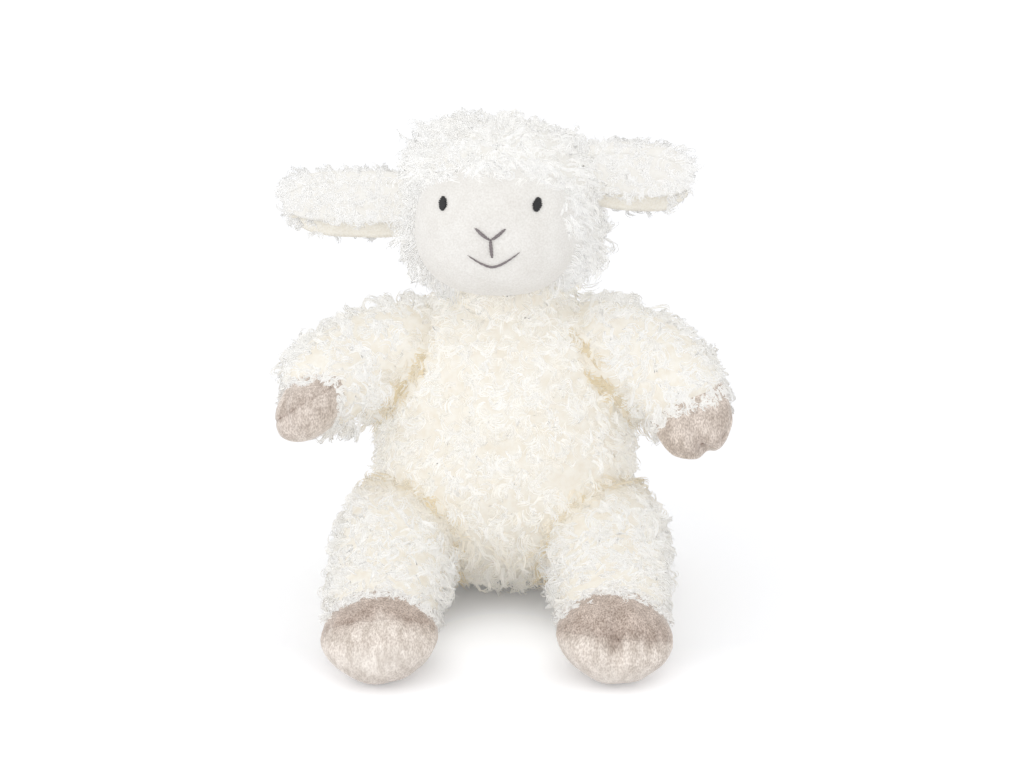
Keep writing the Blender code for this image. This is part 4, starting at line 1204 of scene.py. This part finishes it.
# %% Ear forms
EAR_ROOT = {"left": np.array([0.0470, -0.0040, 0.2210]), "right": np.array([-0.0470, -0.0040, 0.2025])}
EAR_LENGTH = {"left": 0.0455, "right": 0.0640}
EAR_DROOP = {"left": math.radians(3), "right": math.radians(1)}
EAR_SHARES = (0.80, 0.95, 1.00, 1.00, 0.99, 0.93, 0.70)
EAR_TALL, EAR_ABOVE, EAR_FRONT, EAR_FOLD = 0.0370, 0.0175, 0.0270, 0.0062
EAR_BELLY = 0.0016  # how far the flaps swell forwards
EAR_SUNK = 0.0060  # of its root, into the head's pile
EAR_BLUNT = 5.5  # power that rounds the tip
EAR_STATIONS, FOLD_POINTS, FLAP_POINTS = 40, 15, 12
PATH_POINTS = FOLD_POINTS + 2 * FLAP_POINTS  # round the outside, and as many round the inside


def ear_rows(side, outer, inner, low=0.0):
    """Closed cross-sections of one cloth of an ear, from its root to its rounded tip.

    Each is the outside of an upturned U, then its inside back again. The tip closes as a blunt
    curve: every size is multiplied by the ring of a power of the share along the ear.
    """
    share = np.sin(np.linspace(0, 1, EAR_STATIONS) * math.pi / 2)[:, None]
    close = ring_size(share, EAR_BLUNT)
    size = share_at(EAR_SHARES, share) * (0.16 + 0.84 * close)
    arc = np.linspace(math.pi, 0, FOLD_POINTS)[None, :]
    drop = np.linspace(0, 1, FLAP_POINTS)[None, :]
    top = EAR_ABOVE * size
    front, back = top - EAR_FRONT * size + low, top - EAR_TALL * size + low
    crown = top - EAR_FOLD * (0.35 + 0.65 * close)
    y, z = [], []
    for radius, turn in ((outer, 1), (inner, -1)):
        wide = radius * (0.3 + 0.7 * close)
        path = [-wide + 0 * drop, wide * np.cos(arc), wide + 0 * drop]
        y.append(np.concatenate(path, axis=1)[:, ::turn])
        path = [front + (crown - front) * drop, crown + wide * np.sin(arc), crown + (back - crown) * drop]
        z.append(np.concatenate(path, axis=1)[:, ::turn])
    y, z = np.concatenate(y, axis=1), np.concatenate(z, axis=1)
    belly = EAR_BELLY * np.sin(np.clip(share, 0, 1) * math.pi)
    belly = belly * np.sin(fade(z, back, EAR_TALL) * math.pi)
    x = SIDES[side] * (share * (EAR_LENGTH[side] + EAR_SUNK) - EAR_SUNK) + 0 * y
    own = np.stack([x, y - belly, z], axis=-1)
    droop = np.array(Matrix.Rotation(SIDES[side] * EAR_DROOP[side], 3, "Y"))
    rows = from_head(own @ droop.T + EAR_ROOT[side])
    ends = [np.repeat(rows[end].mean(axis=0)[None, None], rows.shape[1], axis=1) for end in (0, -1)]
    return np.concatenate([ends[0], rows, ends[1]])


# %% Ear wool
FLEECE_FACES, LINING_FACES = (0.0016, 0.0030), (0.0032, 0.0044)  # in from the fold's outer radius
LINING_LOW = 0.0004  # of the lining's edges over the fleece's
EAR_DENSITY, EAR_EDGE_DENSITY = 15.0, 17.0
EAR_WOOL = {"curl": 0.0011, "thick": 0.00028, "mottle": 0.03}
EDGE_WOOL = {"length": 0.0038, "lift": 0.0010, "curl": 0.0010, "thick": 0.00028, "mottle": 0.03}
FLEECE_ONLY = (0.10, 0.74)  # shares along an ear before and after which its lining lies under wool
FRONT_EDGE = slice(PATH_POINTS, PATH_POINTS + FLAP_POINTS)

for side, sign in SIDES.items():
    rows = ear_rows(side, *(EAR_FOLD - face for face in FLEECE_FACES))
    lining = ear_rows(side, *(EAR_FOLD - face for face in LINING_FACES), LINING_LOW)
    skin = closed_skin(f"ear_{side}_backing", rows, pale_backing)
    dress(skin, f"ear_{side}", f"ear_{side}_fleece", slot="curly_fleece", padded=False)
    skin = closed_skin(f"ear_{side}_velour", lining, ear_velour)
    dress(skin, f"ear_{side}", f"ear_{side}_lining", slot="ear_velour", padded=False)

    roots, normals = scatter(rows[1:-1, :PATH_POINTS], EAR_DENSITY, sheet=True)
    roots, normals = kept(clear_of(roots, ["head"], PILE), roots, normals)
    own = into_head(roots) - EAR_ROOT[side]
    corner = bell(sign * own[:, 0] / EAR_LENGTH[side], 1.0, 0.22) * fade(own[:, 2], 0, 0.008)
    heading = np.array([sign * 0.8, 0, -0.7]) + corner[:, None] * np.array([sign * 1.2, 0, 1.1])
    # Ear wool gets some painted crease shade next to the head.
    grow(
        f"ear_{side}_wool", roots, normals, from_head(heading), wools["ear"], f"ear_{side}",
        painted_crease_shade(roots, ["head"]) * 0.4,
        length=0.0042 + 0.0040 * corner, lift=0.0012 + 0.0026 * corner, **EAR_WOOL,
    )

    roots, normals = scatter(lining[1:-1, FRONT_EDGE], EAR_EDGE_DENSITY, sheet=True)
    normals = normals * np.sign(normals @ from_head(np.array([0.0, -1.0, 0.0])))[:, None]
    along = sign * (into_head(roots) - EAR_ROOT[side])[:, 0] / EAR_LENGTH[side]
    along = along + 0.03 * swirl(roots, 0.003)
    keep = (along > FLEECE_ONLY[1]) | (along < FLEECE_ONLY[0])
    roots, normals = kept(keep, roots, normals)
    heading = from_head(np.array([sign * 0.7, 0, -0.7]))
    grow(
        f"ear_{side}_edge_wool", roots, normals, heading, wools["ear"], f"ear_{side}", **EDGE_WOOL
    )

# %% [markdown]
# ## Arms and legs
# A limb is a stuffed sleeve sewn to the body. If it rode on its joint alone, it would turn like a
# stick and open a gap at the seam. Real cloth bends there, so the sleeve and its wool would be
# blended between the body and the limb; here their places are only baked in. Wool hangs long under
# an arm and lies short at the cuff.

# %% Limb wool
LIMB_WOOL = {"length": 0.0075, "lift": 0.0030}
CUFF_REACH = (1.45, -0.45)  # how far out of the hoof, in its sizes, the wool gets shorter
CUFF_SHORTER, CUFF_LOWER = 0.0030, 0.0018
HANG_LONGER, HANG_HIGHER = 0.0025, 0.0040
LIMB_VALLEY_SHADE = 0.15


def dress_limb(limb, side, form, blend, others, heading, hoof):
    """Backing and wool of a limb, their places baked in rather than blended over its seam with the body."""
    name = f"{limb}_{side}"
    rows = form(ball_rows(56, 60), PILE)
    skin = closed_skin(f"{name}_backing", rows, wool_backing)
    dress(skin, name, f"{name}_fleece", f"{name}_filling", slot="curly_fleece", blend=blend)
    roots, normals = scatter(rows, DENSITY)
    keep = clear_of(roots, others, PILE) & clear_of(roots, [hoof], -0.0012)
    roots, normals = kept(keep & off_floor(roots, normals, 0.0075, -0.6), roots, normals)
    # Painted crease shade next to the body, weaker on the legs.
    deep = painted_crease_shade(roots, others) * (0.7 if limb == "leg" else 1.0)
    cuff = fade(insides[hoof](roots, 0.0), *CUFF_REACH)
    hang = np.clip(-normals[:, 2], 0, 1) * (limb == "arm")
    grow(
        f"{name}_wool", roots, normals, heading(roots), wools["limb"], name, deep, blend,
        length=LIMB_WOOL["length"] - CUFF_SHORTER * cuff + HANG_LONGER * hang,
        lift=LIMB_WOOL["lift"] - CUFF_LOWER * cuff + HANG_HIGHER * hang, mottle=LIMB_VALLEY_SHADE,
    )


def arm_heading(side):
    """Flow of an arm's wool: outwards along its bend, and down."""

    def heading(roots):
        """Direction of the bend at each root's angle round its centre, and half as much down."""
        own = (roots - SHOULDER[side]) @ arm_axes(side)
        angle = np.arctan2(SIDES[side] * own[:, 0], BEND_RADIUS[side] + own[:, 1])
        angle = np.clip(angle, 0, ARM_BEND[side])
        along = np.stack([SIDES[side] * np.cos(angle), -np.sin(angle), 0 * angle], axis=-1)
        return along @ arm_axes(side).T + 0.5 * DOWN

    return heading


def leg_heading(roots):
    """Flow of a leg's wool: forwards, and down, the same all over."""
    return np.array([0, -1.0, -0.5])


# %% Arms and legs
ARM_SEAM, LEG_SEAM = (0.010, 0.034), (0.012, 0.040)  # where cloth leaves the body, where it is the limb

for side, sign in SIDES.items():
    out = arm_axes(side) @ np.array([sign, 0.0, 0.0])
    ends = [tuple(SHOULDER[side] + out * length) for length in ARM_SEAM]
    dress_limb(
        "arm", side, arm_form(side), ("torso", f"arm_{side}", *ends), ["body", "head"],
        arm_heading(side), f"hand_{side}",
    )
    ends = [tuple(HIP[side] + [0, -length, 0]) for length in LEG_SEAM]
    dress_limb(
        "leg", side, leg_form(side), ("torso", f"leg_{side}", *ends), ["body"],
        leg_heading, f"foot_{side}",
    )

# %% [markdown]
# ## Hooves
# A hoof is two velour panels sewn together round its edge. Half a ball for each would meet in a
# straight line all round. The toy's seam leans, puckers and is pulled back at the front, so that
# the hoof looks cloven. So a panel is a fan of arcs on the blunt egg that all start on the seam in
# front and end on it again behind, and then seam, cleft and stitches draw the cloth in.

# %% Hoof sizes
CLEFT = {
    "hand_left": (0.20, 0.17, 0.0), "hand_right": (0.05, 0.14, 0.1),
    "foot_left": (0.19, 0.15, -0.02), "foot_right": (0.04, 0.16, -0.10),
}  # depth as a share of the half length, width and place as shares of the half width
# Painted light and shade on the feet: the pale shade climbs over the seam in waves.
SHADE_WAVES = {
    "foot_left": ((-0.45, 0.20, 0.002), (0.35, 0.25, 0.002), (-0.08, 0.12, -0.003)),
    "foot_right": ((0.05, 0.38, 0.004), (-0.60, 0.20, -0.002), (0.85, 0.20, -0.002)),
}  # place and width as shares of the half width, and how far the pale shade climbs there
SEAM_ROLL = {"hand_left": 0, "hand_right": 0, "foot_left": 6, "foot_right": -3}  # degrees
# Painted shade darkens the dimple of each stitch.
STITCHES = {
    "hand_left": (0.0, 0.55), "hand_right": (-0.12, 0.35),
    "foot_left": (0.0,), "foot_right": (-0.48, -0.40, 0.52),
}  # places of the dark stitches along the seam, as shares of the half width
SEAM_DRAWN = {"hand": (0.0009, 0.0012, 0.6), "foot": (0.0002, 0.0020, 1)}  # depth, width, share kept
# Painted shade along the seams: strength, width and the share that comes in dashes.
SEAM_SHADE = {"hand": (0.30, 0.0009, 0.4), "foot": (0.05, 0.0018, 0)}  # darkness, width, share dashed
# The pale shade under a hoof's seam is painted light and the taupe over it painted shade, for how the nap
# catches the light.
HAND_UNDER = 0.62  # share of the pale shade that a hand has all over
SHADE_START, SHADE_WIDTH = -0.0036, 0.0110  # where the pale shade of a foot starts over its seam
# A painted highlight pales the sole's front, where its pile catches the light.
RIM_START, RIM_WIDTH, RIM_HIGHLIGHT = 0.011, 0.011, 0.85
HOOF_GAP = 0.0003  # of the lowest cloth over the floor


def egg_surface(directions):
    """Points of the blunt egg in given directions: each divided by its own measure of the egg."""
    x, y, z = np.abs(directions[..., 0]), np.abs(directions[..., 1]), np.abs(directions[..., 2])
    end_power, round_power = HOOF_POWERS
    size = (x**round_power + y**round_power) ** (end_power / round_power) + z**end_power
    return directions / size[..., None] ** (1 / end_power)


# %% One panel's cloth
def panel_fan(tilt, half, side):
    """Points on the egg from the seam's front over the panel to its back, and the way forwards.

    Directions turn about the side-to-side axis, closer together in front, and the ring is closed
    straight through the inside.
    """
    own_tilt = math.atan(math.tan(tilt) * half[2] / half[1])
    front = np.array([0, math.sin(own_tilt), math.cos(own_tilt)])
    over = side * np.array([0, math.cos(own_tilt), -math.sin(own_tilt)])
    theta = np.linspace(-math.pi / 2, math.pi / 2, 97)[:, None, None]
    share = np.linspace(0, 1, 85)[None, :, None]
    phi = math.pi * (0.6 * share + 0.4 * share**2)
    outwards = np.cos(theta) * (np.cos(phi) * front + np.sin(phi) * over)
    full = egg_surface(outwards + np.sin(theta) * np.array([1.0, 0, 0]))
    inside = np.linspace(1, 0, 14)[None, 1:-1, None]
    cap = full[:, :1] * (1 - inside) + full[:, -1:] * inside
    return np.concatenate([full, cap], axis=1), front


def seam_marks(hoof, own, across, dist, forth, upper, half):
    """How deep seam, cleft and stitches draw the cloth in, and how much shade is painted there.

    In metres, dist is how far a point is from the seam. Puckers are a wave along the seam.
    """
    kind = hoof.split("_")[0]
    depth, _, shift = CLEFT[hoof]
    along = own[..., 0]
    drawn, wide, keep = SEAM_DRAWN[kind]
    pucker = np.sin(along / 0.00062 + 2 * np.sin(along / 0.0021)) * bell(dist, 0.0012, 0.0016)
    crease = drawn * bell(dist, 0, wide) + 0.00022 * pucker
    crease = crease + 0.0013 * bell(across, shift, 0.10) * bell(dist, 0.001, 0.004) * forth**2
    shade_strength, wide, dashed = SEAM_SHADE[kind]
    seam_shade = shade_strength * bell(dist, 0, wide) * (1 - dashed + dashed * np.sin(along / 0.0006))
    # painted shade over the seam on the upper panel, and in the sole's cleft
    if upper:
        seam_shade = seam_shade + 0.16 * bell(dist, 0.001, 0.006)
    else:
        seam_shade = seam_shade + 1.3 * depth * bell(across, shift, 0.06) * bell(dist, 0, 0.009) * forth**2
    # painted shade and a dimple at each stitch
    for stitch in STITCHES[hoof]:
        spot = bell(along, stitch * half[0], 0.0012) * bell(dist, 0, 0.0016) * forth**2
        seam_shade, crease = seam_shade + 0.34 * spot, crease + 0.0007 * spot
    return crease * keep, seam_shade


def painted_nap_light(hoof, own, across, below):
    """Share of the painted light on the nap, from how far below the seam a point is and a wave along the
    seam.
    """
    if hoof.startswith("hand"):
        return HAND_UNDER + 0 * below
    wave = 0.0012 * np.sin(own[..., 0] / 0.0034 + 0.8) + 0.0006 * np.sin(own[..., 0] / 0.0013)
    for place, width, climb in SHADE_WAVES[hoof]:
        wave = wave + climb * bell(across, place, width)
    return eased(fade(below + wave, SHADE_START, SHADE_WIDTH))


# %% Hooves
def hoof_panel(hoof, place, half, upper):
    """One panel of a hoof, drawn in at its seam and cleft, with the numbers that shade it."""
    axes, middle = place
    axes = axes @ np.array(Matrix.Rotation(math.radians(SEAM_ROLL[hoof]), 3, "Z")).T
    side = 1 if upper else -1
    tilt = math.radians(SEAM_TILT[hoof])
    full, front = panel_fan(tilt, half, side)
    own = full * half
    across, forth = full[..., 0], np.clip(full @ front, 0, 1)
    dist = np.abs(own @ np.array([0, math.cos(tilt), -math.sin(tilt)]))
    size = np.linalg.norm(own, axis=-1)
    crease, seam_shade = seam_marks(hoof, own, across, dist, forth, upper, half)
    soft = 0.00035 * np.sin(own[..., 0] / 0.0031 + own[..., 1] / 0.0044 + 1.0) * np.sin(own[..., 2] / 0.0038)
    depth, width, shift = CLEFT[hoof]
    groove = depth * half[2] * bell(across, shift, width) * forth**2 * 0.8
    own = own * (1 - (crease + soft) / np.maximum(size, 0.006))[..., None]
    own = own - front * groove[..., None]
    points = own @ axes.T + middle
    points[..., 2] = np.maximum(points[..., 2], HOOF_GAP)
    piece = closed_skin(f"{hoof}_{'upper' if upper else 'sole'}_velour", points, hoof_cloth)
    below = dist * -side
    # painted highlight on the sole's front
    rim = RIM_HIGHLIGHT * fade(below, RIM_START, RIM_WIDTH) * forth
    shades = (("crease", seam_shade), ("under", painted_nap_light(hoof, own, across, below)), ("rim", rim))
    for label, value in shades:
        value = np.concatenate([value[1:-1].ravel(), [value.mean(), value.mean()]])
        point_values(piece, label, np.clip(value, 0, 1))
    return piece


for side in SIDES:
    for limb, body, place, half in (
        ("hand", "arm", hand_place(side), HAND_HALF),
        ("foot", "leg", foot_place(side), FOOT_HALF),
    ):
        for panel in ("upper", "sole"):
            piece = hoof_panel(f"{limb}_{side}", place, half, panel == "upper")
            dress(piece, f"{body}_{side}", f"{limb}_{side}_{panel}", slot="hoof_velour")

# %% [markdown]
# ## Cuffs
# On the toy a hoof is sewn inside its sleeve, and the wool at the sleeve's end hangs over it. The
# sleeve's own locks stop short of the hoof, so short dense ones grow on the hoof where it dips
# into the sleeve, and no seam shows there.

# %% Cuff wool
CUFF_WOOL = {"length": 0.0036, "lift": 0.0012, "curl": 0.0010, "mottle": 0.1}
CUFF_DENSITY, CUFF_LOWEST = DENSITY * 2.8, 0.026


def over_floor(points):
    """True above the part of a foot that the wool leaves free."""
    return points[:, 2] > CUFF_LOWEST


for side in SIDES:
    for limb, place, half in (("arm", hand_place(side), HAND_HALF), ("leg", foot_place(side), FOOT_HALF)):
        axes, middle = place
        name = f"{limb}_{side}"
        rows = egg_surface(ball_rows(60, 48)) * half @ axes.T + middle
        roots, normals = edge_locks(rows, insides[name], over_floor, CUFF_DENSITY)
        heading = axes[:, 2] + 0.3 * DOWN
        grow(f"{name}_cuff_wool", roots, normals, heading, wools["limb"], name, **CUFF_WOOL)

# %% [markdown]
# ## Tail
# The photograph doesn't show the back, but such a toy has a short stuffed tail, as woolly as its
# body. It is one more blunt egg, hung backwards from its root, with its place baked in at its seam.

# %% Tail
TAIL_ROOT, TAIL_HANG = np.array([0, 0.0580, 0.0480]), math.radians(62)
TAIL_RADIUS, TAIL_LENGTH, TAIL_SUNK, TAIL_INSET = 0.0115, 0.0400, 0.006, 0.003
TAIL_SHARES = (0.78, 0.95, 1.00, 0.85, 0.60)
TAIL_SEAM = ([0, -0.002, 0], [0, 0.008, -0.012])  # from the root: body's cloth, tail's cloth
TAIL_WOOL = {"length": 0.009, "lift": 0.003}


def tail_form(ball, inset):
    """A slim egg that hangs down and backwards from its root."""
    full = fuller(ball, 2.4, 2)
    along = (full[..., 2] + 1) / 2
    radius = TAIL_RADIUS * share_at(TAIL_SHARES, along) - inset
    height = TAIL_SUNK - along * TAIL_LENGTH
    own = np.stack([full[..., 0] * radius, full[..., 1] * radius, height], axis=-1)
    turn = np.array(Matrix.Rotation(math.pi / 2 - TAIL_HANG, 3, "X"))
    return own @ turn.T + TAIL_ROOT


tail_rows = tail_form(ball_rows(28, 28), TAIL_INSET)
tail_skin = closed_skin("tail_backing", tail_rows, wool_backing)
tail_blend = ("torso", "tail", *(tuple(TAIL_ROOT + step) for step in TAIL_SEAM))
dress(tail_skin, "tail", "tail", slot="curly_fleece", blend=tail_blend)
roots, normals = scatter(tail_rows, DENSITY)
roots, normals = kept(clear_of(roots, ["body"], PILE), roots, normals)
heading = np.array([0, 0.3, -1.0])
grow("tail_wool", roots, normals, heading, wools["body"], "tail", blend=tail_blend, **TAIL_WOOL)

# %% [markdown]
# ## Floor and light
# In the picture the toy stands on white, with a soft shadow. A pure white floor would throw too
# much light up into the wool, so the floor is a little grey, and a faint glow that only the camera
# sees lifts it to white away from the lamb. Between the legs, where the wool closes the light off
# more than in the picture, it fades in again.

# %% Floor
FLOOR_HALF = 4.0
FLOOR_COLOUR = (0.893, 0.90, 0.92, 1)
GLOWS = (
    ((0, 0, 0), 0.055, 0.105, 0.0, 0.09),
    ((0, -0.085, 0), 0.015, 0.055, 0.22, 0.0),
    ((0, 0.6, 0), 0.690, 0.755, 0.0, 0.22),
)  # centre, near and far, glow at near and at far: round the seat, between the legs, in front

floor_corners = np.array([[-1.0, -1, 0], [1, -1, 0], [1, 1, 0], [-1, 1, 0]]) * FLOOR_HALF
floor_material, floor_tree, floor_shader = material_of("studio_floor", 1.0, 0.0)
floor_shader.inputs["Base Color"].default_value = FLOOR_COLOUR


def maths(tree, operation, first, second):
    """A Math node over two values."""
    node = tree.nodes.new("ShaderNodeMath")
    node.operation = operation
    tree.links.new(first, node.inputs[0])
    tree.links.new(second, node.inputs[1])
    return node.outputs[0]


def fading(centre, near, far, at_near, at_far):
    """A glow that goes smoothly from one value near a place to another far from it."""
    away = floor_tree.nodes.new("ShaderNodeVectorMath")
    away.operation = "DISTANCE"
    away.inputs[1].default_value = centre
    floor_tree.links.new(coordinates(floor_tree), away.inputs[0])
    fades = floor_tree.nodes.new("ShaderNodeMapRange")
    fades.interpolation_type = "SMOOTHSTEP"
    for name, value in (("From Min", near), ("From Max", far), ("To Min", at_near), ("To Max", at_far)):
        fades.inputs[name].default_value = value
    floor_tree.links.new(away.outputs["Value"], fades.inputs["Value"])
    return fades.outputs["Result"]


seat_glow, leg_glow, front_glow = (fading(*glow) for glow in GLOWS)
level = maths(floor_tree, "ADD", front_glow, maths(floor_tree, "ADD", seat_glow, leg_glow))
path = floor_tree.nodes.new("ShaderNodeLightPath")
glow = floor_tree.nodes.new("ShaderNodeEmission")
both = floor_tree.nodes.new("ShaderNodeAddShader")
for start, end in (
    (maths(floor_tree, "MULTIPLY", path.outputs["Is Camera Ray"], level), glow.inputs["Strength"]),
    (floor_shader.outputs["BSDF"], both.inputs[0]),
    (glow.outputs["Emission"], both.inputs[1]),
    (both.outputs["Shader"], floor_tree.nodes["Material Output"].inputs["Surface"]),
):
    floor_tree.links.new(start, end)
floor = new_piece("floor", floor_corners, [np.array([[0, 1, 2, 3]])], floor_material)
print("floor", 2 * FLOOR_HALF, "m wide,", len(GLOWS), "glows")

# %% Light
SKY_ON_LAMB, SKY_SEEN = 1.04, 1.0
KEY = ("key", (-1.6, -0.9, 0.8), 1.2, 3.0)
FILL = ("fill", (-0.3, -1.7, 0.15), 1.2, 5.4)
LAMP_TARGET = Vector((0, 0, 0.1))

world = bpy.data.worlds.new("studio")
bpy.context.scene.world = world
world.use_nodes = True
sky_tree = world.node_tree
rays = sky_tree.nodes.new("ShaderNodeLightPath").outputs
strength = sky_tree.nodes.new("ShaderNodeMapRange")
strength.inputs["To Min"].default_value = SKY_ON_LAMB
strength.inputs["To Max"].default_value = SKY_SEEN
seen = maths(sky_tree, "MAXIMUM", rays["Is Camera Ray"], rays["Is Glossy Ray"])
sky_tree.links.new(seen, strength.inputs["Value"])
sky = sky_tree.nodes["Background"]
sky.inputs["Color"].default_value = (1, 1, 1, 1)
sky_tree.links.new(strength.outputs["Result"], sky.inputs["Strength"])


def lamp(name, place, size, power):
    """A square area lamp that looks at the lamb."""
    data = bpy.data.lights.new(name, "AREA")
    data.size = size
    data.energy = power
    item = bpy.data.objects.new(name, data)
    item.location = place
    item.rotation_euler = (LAMP_TARGET - Vector(place)).to_track_quat("-Z", "Y").to_euler()
    bpy.context.scene.collection.objects.link(item)
    print(name, "lamp", power, "watts")


lamp(*KEY)
lamp(*FILL)
bpy.context.scene.view_settings.view_transform = "Standard"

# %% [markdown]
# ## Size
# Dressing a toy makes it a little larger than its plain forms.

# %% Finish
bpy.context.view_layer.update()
